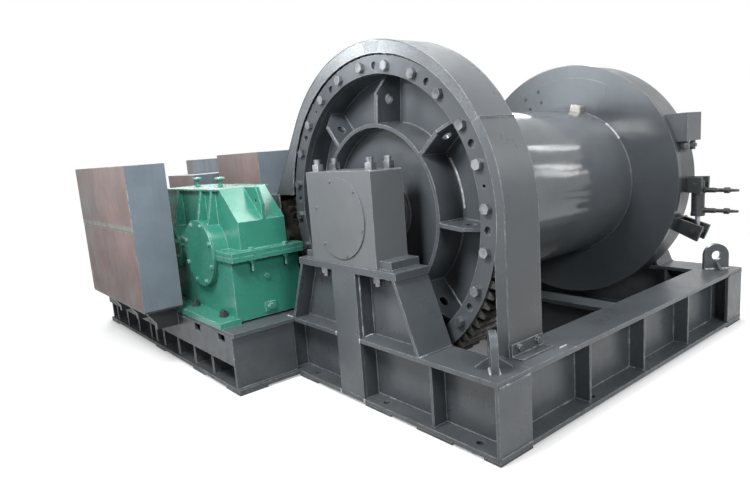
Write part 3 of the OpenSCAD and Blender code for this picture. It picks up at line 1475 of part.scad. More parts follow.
// Valve block and accumulators on a tray, which brackets carry on the apron
module valve_rack() {
  xc = (valve_x0 + valve_x1) / 2;
  tray_z0 = valve_z0 - tray_t;
  y1 = valve_y0 + valve_hood_l;
  acc_h = hood_top_z - valve_z0 - acc_neck_h - acc_room;
  color("slategray") {
    slab([valve_x0 + tray_in, valve_x1 - tray_in], [valve_y0 + tray_in, y1 - tray_in], [tray_z0, valve_z0]);
    for (s = arm_y_shares) let (y = valve_y0 + s * valve_hood_l) along_y(y, y + arm_w) polygon([
      [base_x0, arm_z[0]], [base_x0 - arm_l, arm_z[0]], [base_x0 - arm_l, arm_z[1]],
        [valve_x0 + arm_head_in, tray_z0],
      [valve_x1 - tray_in, tray_z0], [valve_x1 - tray_in, frame_h], [base_x0, frame_h]]);
    slab([xc - block_half_w, xc + block_half_w], valve_y0 * [1, 1] + block_y, [valve_z0,
      valve_z0 + block_tall]);
    for (i = [0:2]) translate([xc, valve_y0 + acc_in + i * acc_pitch, valve_z0]) {
      cylinder(r = acc_r, h = acc_h);
      translate([0, 0, acc_h]) cylinder(r1 = acc_r, r2 = acc_neck_r, h = acc_neck_h);
    }
  }
}
module motor_hood() {
  x = x_front * [1, 1] + motor_hood_x;
  color("rosybrown") difference() {
    hood(x, motor_hood_y, [frame_h, motor_hood_z1]);
    bar_x(0.9 * high_cover_r, x[0] - cut, x[0] + sheet_t + cut, input_y, box_z);
  }
}
module oil_tank() {
  color("rosybrown") hood(x_front * [1, 1] + tank_x, tank_y, [frame_h, tank_z1], sheet_t);
}
module control_cabinet() {
  color("lightslategray") hood(x_front * [1, 1] + cab_x, cab_y, [frame_h, cab_z1], sheet_t);
}

side_beam_right();
side_beam_left();
front_beam();
rear_beam();
inner_beam();
sole_pads();
lifting_lugs();
front_pedestal();
rear_pedestal();
front_bearing_block();
rear_bearing_block();
block_bolts();
bearing_covers();
bearing_outer_rings();
bearing_inner_rings();
bearing_rollers();
drum_shaft();
drum_barrel();
gear_end_disc();
ring_gear();
ring_gear_bolts();
brake_end_disc();
rope_anchor();
brake_band_upper();
brake_lining_upper();
brake_band_lower();
brake_lining_lower();
band_hinge_pin();
brake_anchor_box();
brake_cylinder();
brake_rod();
brake_rod_pin();
brake_hose_fittings();
guard_arch();
guard_leg();
guard_pinion_box();
guard_feet();
gearbox_lower();
gearbox_upper();
gearbox_covers();
gearbox_joint_bolts();
gearbox_foot_bolts();
gearbox_fittings();
gearbox_bearings();
output_shaft();
output_wheel();
open_pinion();
input_pinion_shaft();
outboard_bearing();
gearbox_seat();
valve_base();
motor_base();
shaft_coupling();
hydraulic_motor();
motor_bracket();
valve_hood();
valve_rack();
motor_hood();
oil_tank();
control_cabinet();
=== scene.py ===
"""Hydraulic winch: materials, weld beads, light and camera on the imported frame.

Lengths are in metres, in the CAD's frame: X along the drum's axis from the gear end to the brake
end, Y towards the drive, Z up from the floor.
"""
import math
import random

import bmesh
import bpy
from mathutils import Matrix, Vector


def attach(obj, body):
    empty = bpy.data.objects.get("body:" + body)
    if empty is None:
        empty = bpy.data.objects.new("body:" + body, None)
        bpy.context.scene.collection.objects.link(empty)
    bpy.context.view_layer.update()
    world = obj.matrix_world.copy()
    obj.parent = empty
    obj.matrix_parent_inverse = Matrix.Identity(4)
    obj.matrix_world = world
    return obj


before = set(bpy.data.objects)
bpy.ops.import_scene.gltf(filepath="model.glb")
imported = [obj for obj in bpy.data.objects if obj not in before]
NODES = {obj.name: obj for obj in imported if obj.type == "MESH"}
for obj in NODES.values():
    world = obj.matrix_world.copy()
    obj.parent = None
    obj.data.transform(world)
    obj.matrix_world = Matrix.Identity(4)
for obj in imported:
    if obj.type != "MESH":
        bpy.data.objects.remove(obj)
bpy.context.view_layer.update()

SHAFT_Z = 1.08                          # height of the drum's axis
PAINT_R, STEEL_R = 0.884, 0.888         # the ring gear is painted up to here, bare from here

# The camera that fits the photograph's straight edges
LENS_MM = 28.316
SENSOR_MM = 36
CLIP_END = 200
CAMERA_PLACE = (
    (0.76692, 0.16543, -0.62005, -3.319),
    (-0.63757, 0.08653, -0.76551, -2.675),
    (-0.07299, 0.98242, 0.17184, 1.461),
    (0, 0, 0, 1))

# The winch's footprints on the floor: centre and half size of the drum frame and of the drive base
FOOTPRINTS = ((0.0, 0.0, 1.40, 1.09), (-0.95, 1.92, 0.88, 1.33))
FLOOR_SIZE = 160
FLOOR_Z = -0.002
FLOOR_BOUNCE = (0.22, 0.22, 0.22, 1)    # tone of the floor for the light that it sends back
FLOOR_SEEN = (0.55, 0.55, 0.55, 1)      # tone of the floor as it is seen, with the shadow
FLOOR_GLOW = 0.62                       # what lifts the seen tone to white
GLOW_FROM, GLOW_FULL = -0.12, 0.10      # distance from a footprint at which the glow sets in
WHITE_FROM, WHITE_FULL = 1.6, 4.0       # distance at which the floor fades to plain white
SKY = (0.80, 0.85, 0.92, 1)
SKY_STRENGTH = 0.17

# Lamps: name, place, target, long and short side, power in watts, spread in degrees
WIDE = 180
LAMPS = (
    ("key", (-3.2, -0.3, 3.2), (-1.1, 0.1, 1.3), (1.1, 0.9), 125, WIDE),
    ("beam", (-4.6, 0.5, 2.95), (0.83, -0.2, 1.95), (0.5, 0.3), 9, 18),
    ("overhead", (0.6, -0.2, 5.2), (0.2, 0.0, 1.0), (3.5, 1.2), 150, WIDE),
    ("fill", (-2.4, -5.8, 3.9), (-0.9, 0, 1.0), (2.4, 1.6), 205, WIDE),
    ("fill_right", (3.4, -5.8, 4.2), (0, 0, 0.8), (2.4, 1.6), 75, WIDE),
    ("fill_left", (-5.8, 0.2, 2.5), (-1.3, 0.5, 0.8), (1.6, 1.2), 52, WIDE),
    ("right", (6.0, 3.8, 3.8), (0.6, 0.2, 1.0), (2.4, 2.0), 150, WIDE),
    ("back", (1.5, 7.5, 4.6), (-0.4, 1.2, 0.8), (4.0, 2.5), 230, WIDE),
)
# The lamps that the barrel mirrors as streaks: place, direction of the long side, power
STREAKS = (
    ((5.0, -2.05, 4.40), (0, -0.21, -0.95), 8),
    ((5.0, -3.39, 3.04), (0, 0.28, -1.04), 7),
    ((5.0, -3.66, 2.48), (0, 0.38, -1.05), 6),
)
STREAK_TARGET = (0.0, -0.5, 1.3)
STREAK_SIZE = (1.05, 0.05)

# Tones, linear red, green and blue
PALE = (0.52, 0.54, 0.56)               # primer and bare metal where grey paint is rubbed
DULL = (0.3, 0.3, 0.3)
DIRT = (0.045, 0.043, 0.04)
DUST = (0.30, 0.30, 0.29)
RUST = (0.16, 0.075, 0.03)
OIL = (0.03, 0.028, 0.026)
LINING, LINING_DARK = (0.20, 0.12, 0.07), (0.10, 0.06, 0.035)

# Coats. Darkening towards the bottom is painted shade, the guard's pale specks high up are a
# painted highlight, and the base's darkening under the valve hood is a painted shadow.
PAINTS = {
    "grey": dict(name="grey_paint", base=(0.096, 0.109, 0.120), dark=(0.064, 0.074, 0.083),
                 painted_low_shade=0.12),
    "base": dict(name="base_paint", base=(0.080, 0.091, 0.101), dark=(0.055, 0.064, 0.072),
                 rough=0.42, grime=0.8, painted_low_shade=0.10, painted_shadow_y=(1.28, 1.62)),
    # The drum has one paint: the barrel's copy is lighter, as painted light, and the dish's and the
    # brake end's are darker, as painted shade.
    "drum": dict(name="drum_paint", base=(0.138, 0.152, 0.163), dark=(0.094, 0.105, 0.114),
                 rough=0.115, spread=0.025, streak=0.5, grime=0.0),
    "dish": dict(name="dish_paint", base=(0.085, 0.096, 0.106), dark=(0.060, 0.069, 0.077),
                 rough=0.20, spread=0.04, streak=0.5, grime=0.0),
    "brake_drum": dict(name="brake_drum_paint", base=(0.090, 0.101, 0.111),
                       dark=(0.066, 0.075, 0.083), rough=0.20, spread=0.04, streak=0.5,
                       grime=0.0, worn=0.15),
    "band": dict(name="band_paint", base=(0.098, 0.108, 0.112), dark=(0.068, 0.076, 0.080),
                 rough=0.36, edge=0.003, grime=0.0, worn=0.25, painted_low_shade=0.8,
                 shade_heights=(1.52, 1.20)),
    "dark": dict(name="dark_paint", base=(0.040, 0.044, 0.048), dark=(0.022, 0.025, 0.028),
                 scuff=DULL, rough=0.35, edge=0.002),
    "block": dict(name="block_paint", base=(0.150, 0.160, 0.168), dark=(0.118, 0.127, 0.135),
                  rough=0.42),
    "cover": dict(name="cover_paint", base=(0.150, 0.160, 0.168), dark=(0.118, 0.127, 0.135),
                  rough=0.42, edge=0.003, worn=0.1),
    "guard": dict(name="guard_paint", base=(0.112, 0.124, 0.133), dark=(0.083, 0.093, 0.102),
                  rough=0.31, edge=0.005, streak=0.8, grime=0.2, worn=0.9, painted_highlight=0.35,
                  painted_low_shade=0.62, shade_heights=(1.6, 0.7)),
    "green": dict(name="green_paint", base=(0.048, 0.262, 0.190), dark=(0.026, 0.180, 0.128),
                  scuff=(0.52, 0.68, 0.62), rough=0.26, edge=0.005, streak=0.6, grime=0.0,
                  worn=0.7),
    "gear": dict(name="ring_gear_skin", base=(0.078, 0.087, 0.095), dark=(0.052, 0.060, 0.067),
                 rough=0.42, edge=0.003, streak=0.4, grime=0.0),
    "fitting": dict(name="hose_rubber", base=(0.030, 0.031, 0.032), dark=(0.016, 0.016, 0.017),
                    scuff=(0.22, 0.22, 0.22), rough=0.42, edge=0.001),
    "pad": dict(name="pad_steel", base=(0.07, 0.072, 0.075), dark=(0.04, 0.04, 0.042),
                scuff=DULL, rough=0.6, edge=0.003),
}
STEELS = {
    "bolt": dict(name="bolt_steel", base=(0.36, 0.38, 0.40), dark=(0.13, 0.135, 0.145),
                 rough=0.34, rusty=0.06),
    "dark_bolt": dict(name="dark_bolt_steel", base=(0.10, 0.10, 0.10), dark=(0.05, 0.05, 0.05),
                      rough=0.4, rusty=0.25),
    "bright": dict(name="bright_steel", base=(0.74, 0.71, 0.64), dark=(0.46, 0.44, 0.40),
                   rough=0.30, rusty=0.12),
    "gear_steel": dict(name="cut_steel", base=(0.20, 0.19, 0.18), dark=(0.055, 0.050, 0.045),
                       rough=0.34, rusty=0.3),
}
TOOTH_STEEL = (0.10, 0.095, 0.09)
SHEET_SEAM_Z = 1.035
SHEET_HAZE = (0.20, 0.195, 0.20)
# The hood's end faces are lighter towards the top, as painted light, and darker towards the foot,
# as painted shade.
SHEET_LIT_TOP = (0.40, 0.33, 0.32)
SHEET_SHADED_FOOT = (0.082, 0.056, 0.053)
SHEET_SEAM = (0.27, 0.31, 0.28)
SHEET_DRIP = (0.10, 0.075, 0.07)
SHEET_RUBBED = (0.42, 0.40, 0.38)
SHEET_EDGE = (0.50, 0.50, 0.50)
SHEETS = {
    "hood": dict(name="hood_sheet", warm=(0.30, 0.195, 0.178), warm_dark=(0.165, 0.105, 0.096),
                 cool=(0.150, 0.180, 0.210), cool_dark=(0.105, 0.130, 0.155)),
    "cabinet": dict(name="cabinet_sheet", warm=(0.34, 0.36, 0.38), warm_dark=(0.26, 0.28, 0.30),
                    cool=(0.22, 0.25, 0.28), cool_dark=(0.16, 0.19, 0.21)),
}
WELDS = {
    "seam": dict(name="seam_weld", base=(0.13, 0.14, 0.15), dark=(0.09, 0.10, 0.11),
                 bright=(0.24, 0.26, 0.27)),
    "weld": dict(name="weld_metal", base=(0.15, 0.165, 0.175), dark=(0.08, 0.09, 0.10),
                 bright=(0.42, 0.44, 0.46)),
    "green_weld": dict(name="green_weld", base=(0.05, 0.27, 0.19), dark=(0.03, 0.18, 0.13),
                       bright=(0.45, 0.62, 0.55)),
    "fresh": dict(name="fresh_weld", base=(0.62, 0.64, 0.66), dark=(0.28, 0.30, 0.31),
                  bright=(0.90, 0.90, 0.90)),
}

# The CAD nodes that each look dresses
LOOKS = {
    "grey": ["side_beam_right", "side_beam_left", "front_beam", "rear_beam", "inner_beam",
             "lifting_lugs", "front_pedestal", "rear_pedestal", "motor_bracket",
             "brake_anchor_box", "outboard_bearing", "hydraulic_motor"],
    "base": ["gearbox_seat", "valve_base", "motor_base"],
    "pad": ["sole_pads"],
    "block": ["front_bearing_block", "rear_bearing_block"],
    "cover": ["bearing_covers"],
    "drum": ["drum_barrel"],
    "dish": ["gear_end_disc"],
    "brake_drum": ["brake_end_disc"],
    # The valve rack takes the dark coat as painted shade: it stands in the valve hood's shadow.
    "dark": ["brake_cylinder", "valve_rack"],
    "band": ["brake_band_upper", "brake_band_lower"],
    "guard": ["guard_arch", "guard_leg", "guard_pinion_box", "guard_feet"],
    "gear": ["ring_gear"],
    "green": ["gearbox_lower", "gearbox_upper", "gearbox_covers", "gearbox_joint_bolts",
              "gearbox_fittings"],
    "bolt": ["block_bolts", "ring_gear_bolts", "band_hinge_pin", "brake_rod"],
    "dark_bolt": ["gearbox_foot_bolts", "brake_rod_pin"],
    "bright": ["rope_anchor", "bearing_outer_rings", "bearing_inner_rings", "bearing_rollers",
               "gearbox_bearings", "drum_shaft", "output_shaft"],
    "gear_steel": ["open_pinion", "output_wheel", "input_pinion_shaft", "shaft_coupling"],
    "fitting": ["brake_hose_fittings"],
    "lining": ["brake_lining_upper", "brake_lining_lower"],
    "hood": ["valve_hood", "motor_hood", "oil_tank"],
    "cabinet": ["control_cabinet"],
}


def rgba(tone, share=1.0):
    """A tone as a node's colour, darkened to a share of itself."""
    return tuple(c * share for c in tone) + (1.0,)


class Tree:
    """Short calls that add nodes to a node tree."""

    def __init__(self, nt):
        self.nt = nt

    def node(self, kind, **props):
        n = self.nt.nodes.new(kind)
        for k, v in props.items():
            setattr(n, k, v)
        return n

    def link(self, a, b):
        self.nt.links.new(a, b)

    def put(self, sock, value):
        """Link an output to the socket, or set the socket to a plain value."""
        if hasattr(value, "links"):
            self.link(value, sock)
        else:
            sock.default_value = value

    def math(self, op, a, b=0.0, clamp=False):
        n = self.node("ShaderNodeMath", operation=op, use_clamp=clamp)
        self.put(n.inputs[0], a)
        self.put(n.inputs[1], b)
        return n.outputs["Value"]

    def times(self, a, b, clamp=False):
        return self.math("MULTIPLY", a, b, clamp)

    def ramp(self, value, lo, hi, a=0.0, b=1.0, smooth=False):
        """Runs from a, where the value is lo, to b, where it is hi, and stays there."""
        n = self.node("ShaderNodeMapRange",
                      interpolation_type="SMOOTHSTEP" if smooth else "LINEAR")
        self.link(value, n.inputs["Value"])
        for key, v in (("From Min", lo), ("From Max", hi), ("To Min", a), ("To Max", b)):
            n.inputs[key].default_value = v
        return n.outputs["Result"]

    def part(self, vector, letter):
        """One component of a vector."""
        n = self.node("ShaderNodeSeparateXYZ")
        self.link(vector, n.inputs[0])
        return n.outputs[letter]

    def mix_shader(self, fac, a, b):
        n = self.node("ShaderNodeMixShader")
        self.link(fac, n.inputs["Fac"])
        self.link(a, n.inputs[1])
        self.link(b, n.inputs[2])
        return n.outputs[0]

    def seen_directly(self):
        """1 for camera, glossy and transmission rays, 0 for light that reaches the object."""
        rays = self.node("ShaderNodeLightPath").outputs
        both = self.math("MAXIMUM", rays["Is Camera Ray"], rays["Is Glossy Ray"])
        return self.math("MAXIMUM", both, rays["Is Transmission Ray"])


class Skin(Tree):
    """The nodes of one surface material, laid out in object coordinates."""

    def __init__(self, mat):
        super().__init__(mat.node_tree)
        self.mat = mat
        self.bsdf = self.nt.nodes["Principled BSDF"]
        self.coord = self.node("ShaderNodeTexCoord").outputs["Object"]

    def noise(self, scale, detail=4.0, rough=0.55, vec=None, distortion=0.0):
        n = self.node("ShaderNodeTexNoise")
        self.link(vec or self.coord, n.inputs["Vector"])
        for key, v in (("Scale", scale), ("Detail", detail), ("Roughness", rough),
                       ("Distortion", distortion)):
            n.inputs[key].default_value = v
        return n.outputs["Fac"]

    def spots(self, scale, levels, to=(0.0, 1.0), **noise):
        """Noise that runs from one value to the other between two of its levels."""
        return self.ramp(self.noise(scale, **noise), *levels, *to)

    def stretch(self, sx, sy, sz):
        """Object coordinates, with a pattern drawn out along the axis of the smallest factor."""
        n = self.node("ShaderNodeMapping")
        self.link(self.coord, n.inputs["Vector"])
        n.inputs["Scale"].default_value = (sx, sy, sz)
        return n.outputs["Vector"]

    def mix(self, fac, a, b):
        n = self.node("ShaderNodeMix", data_type="RGBA")
        self.put(n.inputs["Factor"], fac)
        self.put(n.inputs["A"], a)
        self.put(n.inputs["B"], b)
        return n.outputs["Result"]

    def bump(self, height, strength, distance, normal=None):
        n = self.node("ShaderNodeBump")
        self.link(height, n.inputs["Height"])
        n.inputs["Strength"].default_value = strength
        n.inputs["Distance"].default_value = distance
        if normal is not None:
            self.link(normal, n.inputs["Normal"])
        return n.outputs["Normal"]

    def edge_normal(self, radius):
        """The normal of edges rounded to the radius."""
        n = self.node("ShaderNodeBevel", samples=4)
        n.inputs["Radius"].default_value = radius
        return n.outputs["Normal"]

    def edge_mask(self, radius):
        """1 on edges narrower than the radius, 0 on flat faces."""
        dot = self.node("ShaderNodeVectorMath", operation="DOT_PRODUCT")
        self.link(self.edge_normal(radius), dot.inputs[0])
        self.link(self.node("ShaderNodeNewGeometry").outputs["Normal"], dot.inputs[1])
        return self.ramp(dot.outputs["Value"], 0.995, 0.93)

    def axis(self, letter):
        """The place along one axis."""
        return self.part(self.coord, letter)

    def face(self, letter):
        """How far the surface looks along one axis, from -1 to 1."""
        return self.part(self.node("ShaderNodeNewGeometry").outputs["Normal"], letter)

    def shaft_distance(self):
        """Distance from the drum's axis."""
        y = self.axis("Y")
        z = self.math("SUBTRACT", self.axis("Z"), SHAFT_Z)
        return self.math("SQRT", self.math("ADD", self.times(y, y), self.times(z, z)))

    def finish(self, color, rough, normal, metallic=0.0):
        b = self.bsdf.inputs
        self.put(b["Base Color"], color)
        self.put(b["Roughness"], rough)
        self.link(normal, b["Normal"])
        b["Metallic"].default_value = metallic
        return self.mat


def new_material(name):
    mat = bpy.data.materials.new(name)
    mat.use_nodes = True
    return mat


def paint(name, base, dark, scuff=PALE, rough=0.30, edge=0.004, streak=1.0, grime=0.5,
          spread=0.06, worn=0.6, painted_highlight=0.0, painted_low_shade=0.0, shade_heights=(0.41, 0.25), painted_shadow_y=None):
    """Sprayed machine paint: clouds, runs, dirt low down, dust on top, rubbed edges, orange peel,
    and painted shade low down, a painted highlight high up and a painted shadow under the hood.

    base and dark are the coat's two tones, scuff is what shows where it is rubbed. rough is the
    mean roughness, which varies by spread, and edge the radius of the soft edges. streak, grime
    and worn weigh the runs, the dirt and the rubbed edges. The last four arguments paint light:
    the first weighs a painted highlight of pale specks high up on the faces that look along -X,
    the second is the strength of painted shade that darkens the coat between the two heights of
    the third, from the first down to the second, and the fourth paints the valve hood's shadow,
    darkening the faces that look along -X from its first place along Y to its second.
    """
    g = Skin(new_material(name))
    scuff = rgba(scuff)

    clouds = g.spots(1.7, (0.32, 0.68), detail=5, rough=0.6)
    col = g.mix(clouds, rgba(dark), rgba(base))
    runs = g.spots(5.0, (0.56, 0.78), (0.0, 0.35 * streak), rough=0.6, vec=g.stretch(6, 6, 0.7))
    col = g.mix(runs, col, rgba(base, share=0.72))
    # Painted shade: the coat darkens towards the bottom.
    if painted_low_shade:
        shade = g.ramp(g.axis("Z"), *shade_heights, 0.0, painted_low_shade)
        col = g.mix(shade, col, rgba(dark, share=0.35))
    # Painted shadow: the valve hood's shadow, darkening the faces that look along -X between two
    # places along Y.
    if painted_shadow_y:
        hood_shadow = g.times(g.ramp(g.axis("Y"), *painted_shadow_y), g.ramp(g.face("X"), -0.6, -0.9))
        col = g.mix(g.times(hood_shadow, 0.9), col, rgba(dark, share=0.16))

    low = g.ramp(g.axis("Z"), 0.42, 0.02, 0.0, grime)
    dirt = g.times(low, g.spots(9.0, (0.42, 0.66), detail=6, rough=0.7))
    col = g.mix(dirt, col, rgba(DIRT))
    up = g.ramp(g.face("Z"), 0.75, 0.98, 0.0, 0.09)
    dust = g.times(up, g.spots(4.2, (0.35, 0.7), detail=6, rough=0.7))
    col = g.mix(dust, col, rgba(DUST))

    scratches = g.spots(34.0, (0.70, 0.76), detail=6, rough=0.75, vec=g.stretch(1, 0.35, 1),
                        distortion=1.4)
    marks = g.times(scratches, g.spots(2.3, (0.55, 0.66), detail=2), clamp=True)
    broken = g.spots(21.0, (0.40, 0.60), (0.15, 1.0), rough=0.7)
    rim = g.times(g.edge_mask(edge * 1.6), broken, clamp=True)
    rubbed = g.math("MAXIMUM", g.times(marks, 0.6), g.times(rim, worn))
    col = g.mix(rubbed, col, scuff)
    specks = g.spots(150.0, (0.74, 0.80), (0.0, 0.35), detail=2, rough=0.5)
    col = g.mix(specks, col, scuff)

    # Painted highlight: pale specks where light catches the high faces that look along -X.
    if painted_highlight:
        high = g.times(g.ramp(g.axis("Z"), 1.25, 1.95), g.ramp(g.face("X"), -0.4, -0.8))
        highlight_specks = g.spots(70.0, (0.44, 0.62), (0.25, 1.0), detail=5, rough=0.8)
        patches = g.spots(3.0, (0.30, 0.62), (0.3, 1.0), detail=3, rough=0.6)
        col = g.mix(g.times(g.times(high, highlight_specks), g.times(patches, painted_highlight)), col, scuff)

    gloss = g.spots(6.0, (0.3, 0.7), (rough - spread, rough + spread))
    soiled = g.times(g.math("ADD", dirt, dust), 0.35)
    waves, peel = g.noise(11.0, detail=3, rough=0.5), g.noise(240.0, detail=3, rough=0.5)
    n = g.edge_normal(edge)
    n = g.bump(waves, strength=0.16, distance=0.006, normal=n)
    n = g.bump(peel, strength=0.10, distance=0.0009, normal=n)
    return g.finish(col, g.math("ADD", gloss, soiled), n)


def bare_teeth(mat):
    """Leave the grey coat on the ring gear's face, and greasy steel on its teeth."""
    g = Skin(mat)
    col_in = g.bsdf.inputs["Base Color"]
    painted = col_in.links[0].from_socket
    teeth = g.ramp(g.shaft_distance(), PAINT_R, STEEL_R)
    grease = g.spots(30.0, (0.4, 0.6), detail=5, rough=0.7)
    g.link(g.mix(teeth, painted, g.mix(grease, rgba(TOOTH_STEEL), rgba(OIL))), col_in)
    g.link(g.times(teeth, 0.7), g.bsdf.inputs["Metallic"])


def steel(name, base, dark, rough, rusty):
    """Bare turned or rolled steel with an oily film and specks of rust."""
    g = Skin(new_material(name))
    film = g.spots(11.0, (0.38, 0.66), detail=5, rough=0.65)
    col = g.mix(film, rgba(base), rgba(dark))
    rust = g.times(g.spots(60.0, (0.60, 0.72), detail=5, rough=0.7), rusty)
    col = g.mix(rust, col, rgba(RUST))
    r = g.spots(26.0, (0.3, 0.7), (rough - 0.08, rough + 0.14))
    turning = g.noise(300.0, detail=2, rough=0.5, vec=g.stretch(0.15, 1, 1))
    n = g.bump(turning, strength=0.12, distance=0.0006, normal=g.edge_normal(0.0015))
    return g.finish(col, r, n, metallic=0.85)


def sheet_skin(name, warm, warm_dark, cool, cool_dark):
    """Thin sheet: warm tones on the faces across X, cool ones elsewhere, a seam band, drips;
    painted light towards the top and painted shade towards the foot of the faces across X.
    """
    g = Skin(new_material(name))
    blots = g.spots(2.2, (0.36, 0.62), detail=6, rough=0.66)
    ends = g.mix(blots, rgba(warm_dark), rgba(warm))
    haze = g.spots(1.1, (0.44, 0.62), (0.0, 0.75), rough=0.6, vec=g.stretch(1, 1, 0.6))
    ends = g.mix(haze, ends, rgba(SHEET_HAZE))
    clouds = g.spots(2.0, (0.34, 0.66), detail=5, rough=0.6)
    sides = g.mix(clouds, rgba(cool_dark), rgba(cool))
    is_end = g.ramp(g.math("ABSOLUTE", g.face("X")), 0.45, 0.55)
    col = g.mix(is_end, sides, ends)

    # Painted light and shade on the end faces: lighter towards the top, darker towards the foot.
    top = g.ramp(g.axis("Z"), 1.0, 1.5, 0.0, 0.45)
    col = g.mix(g.times(top, is_end), col, rgba(SHEET_LIT_TOP))
    foot = g.ramp(g.axis("Z"), 1.02, 0.45, 0.10, 0.85)
    col = g.mix(g.times(foot, is_end), col, rgba(SHEET_SHADED_FOOT))
    off_seam = g.math("ABSOLUTE", g.math("SUBTRACT", g.axis("Z"), SHEET_SEAM_Z))
    broken = g.spots(12.0, (0.3, 0.6), (0.3, 0.9), rough=0.7)
    band = g.times(g.ramp(off_seam, 0.030, 0.012), broken)
    col = g.mix(g.times(band, is_end), col, rgba(SHEET_SEAM))
    drips = g.spots(4.0, (0.56, 0.74), (0.0, 0.45), detail=5, rough=0.6,
                    vec=g.stretch(9, 9, 0.5))
    col = g.mix(drips, col, rgba(SHEET_DRIP))

    scratches = g.spots(46.0, (0.64, 0.72), (0.0, 0.7), detail=6, rough=0.75, distortion=1.2)
    marks = g.times(scratches, g.spots(3.1, (0.48, 0.60), detail=2), clamp=True)
    col = g.mix(marks, col, rgba(SHEET_RUBBED))
    rim = g.times(g.edge_mask(0.006), g.spots(18.0, (0.40, 0.62), rough=0.7), clamp=True)
    col = g.mix(g.times(rim, 0.6), col, rgba(SHEET_EDGE))

    r = g.spots(5.0, (0.3, 0.7), (0.40, 0.6))
    n = g.edge_normal(0.003)
    n = g.bump(g.noise(3.2, detail=2, rough=0.4), strength=0.4, distance=0.02, normal=n)
    n = g.bump(g.noise(260.0, detail=2), strength=0.08, distance=0.0008, normal=n)
    return g.finish(col, r, n)


def weld_skin(name, base, dark, bright):
    """Weld metal under paint, with patches where the paint is thin and the metal shines."""
    g = Skin(new_material(name))
    col = g.mix(g.spots(50.0, (0.35, 0.65)), rgba(dark), rgba(base))
    patches = g.spots(7.0, (0.56, 0.66), rough=0.7)
    grains = g.spots(120.0, (0.42, 0.55), detail=3, rough=0.7)
    col = g.mix(g.times(patches, grains, clamp=True), col, rgba(bright))
    r = g.spots(90.0, (0.3, 0.7), (0.30, 0.5), detail=3)
    n = g.bump(g.noise(160.0, detail=3, rough=0.6), strength=0.5, distance=0.002)
    return g.finish(col, r, n, metallic=0.1)


def woven(name):
    """Brown woven friction lining."""
    g = Skin(new_material(name))
    weave = g.node("ShaderNodeTexWave", bands_direction="X")
    g.link(g.coord, weave.inputs["Vector"])
    weave.inputs["Scale"].default_value = 60.0
    weave.inputs["Distortion"].default_value = 2.0
    col = g.mix(weave.outputs["Fac"], rgba(LINING_DARK), rgba(LINING))
    r = g.spots(40.0, (0.3, 0.7), (0.7, 0.9))
    return g.finish(col, r, g.bump(weave.outputs["Fac"], strength=0.3, distance=0.001))


def make_materials():
    """Every look by its key."""
    mats = {}
    for maker, table in ((paint, PAINTS), (steel, STEELS), (sheet_skin, SHEETS),
                         (weld_skin, WELDS)):
        for key, spec in table.items():
            mats[key] = maker(**spec)
    bare_teeth(mats["gear"])
    mats["lining"] = woven("friction_lining")
    return mats


def dress_nodes(mats):
    """Give each CAD node the material of its look."""
    for look, names in LOOKS.items():
        for name in names:
            for slot in NODES[name].material_slots:
                slot.material = mats[look]


BEAD_SIDES = 6
BEAD_STEP = 0.9                         # between two rings, in radii
LEAST_R, BEAT, WOBBLE = 0.88, 0.16, 0.14    # a ring's radius: least, every second ring, random
FRAME_HINT = Vector((0.3, 0.5, 0.81))   # no bead runs along it


def bead_mesh(bm, pts, r, rng):
    """A rippled bead along a polyline: rings of points whose radius beats from ring to ring."""
    step = r * BEAD_STEP
    line = []
    for a, b in zip(pts, pts[1:]):
        a, b = Vector(a), Vector(b)
        n = max(2, int((b - a).length / step))
        line += [a.lerp(b, i / n) for i in range(n)]
    line.append(Vector(pts[-1]))
    if len(line) < 3:
        return
    turns = [2 * math.pi * k / BEAD_SIDES for k in range(BEAD_SIDES)]
    rings = []
    for i, p in enumerate(line):
        t = (line[min(i + 1, len(line) - 1)] - line[max(i - 1, 0)]).normalized()
        u = t.cross(FRAME_HINT).normalized()
        v = t.cross(u)
        ring_r = r * (LEAST_R + BEAT * (i % 2) + WOBBLE * rng.random())
        rings.append([bm.verts.new(p + ring_r * (math.cos(a) * u + math.sin(a) * v))
                      for a in turns])
    for a, b in zip(rings, rings[1:]):
        for k in range(BEAD_SIDES):
            after = (k + 1) % BEAD_SIDES
            bm.faces.new((a[k], a[after], b[after], b[k]))
    bm.faces.new(rings[0])
    bm.faces.new(list(reversed(rings[-1])))


def add_beads(name, lines, body, mat, r, seed):
    """One piece of weld beads, one bead for each polyline."""
    rng = random.Random(seed)
    bm = bmesh.new()
    for pts in lines:
        bead_mesh(bm, pts, r, rng)
    bmesh.ops.recalc_face_normals(bm, faces=bm.faces)
    me = bpy.data.meshes.new(name)
    bm.to_mesh(me)
    bm.free()
    for p in me.polygons:
        p.use_smooth = True
    ob = bpy.data.objects.new(name, me)
    bpy.context.scene.collection.objects.link(ob)
    me.materials.append(mat)
    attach(ob, body)


# The beads lie a millimetre or a few off the corners of the plates that they join
LOW_Z, HIGH_Z = 0.040, 0.372            # inner faces of a beam's flanges
DECK_Z = 0.402                          # top face of the frame
END_WEB_X = 1.289                       # outer face of an end beam's web
COLUMN_Y = 0.112                        # side of a pedestal's middle column
RIBS, FIRST_RIB, RIB_STEP = 8, -5.3, 45  # the gear end's ribs, in degrees


def mirrored(seams, sx, sy=1):
    """The seams, turned to the side that the signs name."""
    return [[(sx * x, sy * y, z) for x, y, z in seam] for seam in seams]


def ring_line(x, r, a0=0.0, a1=360.0, n=96, y=0.0, z=SHAFT_Z):
    """An arc round an axis along X, with angles from -Y upwards in degrees."""
    out = []
    for i in range(n + 1):
        a = math.radians(a0 + (a1 - a0) * i / n)
        out.append((x, y - r * math.cos(a), z + r * math.sin(a)))
    return out


def beside_rib(x, r, degrees, off):
    """A point at radius r on the gear end, beside the rib at that angle."""
    c, s = math.cos(math.radians(degrees)), math.sin(math.radians(degrees))
    return (x, -r * c - off * s, SHAFT_Z + r * s - off * c)


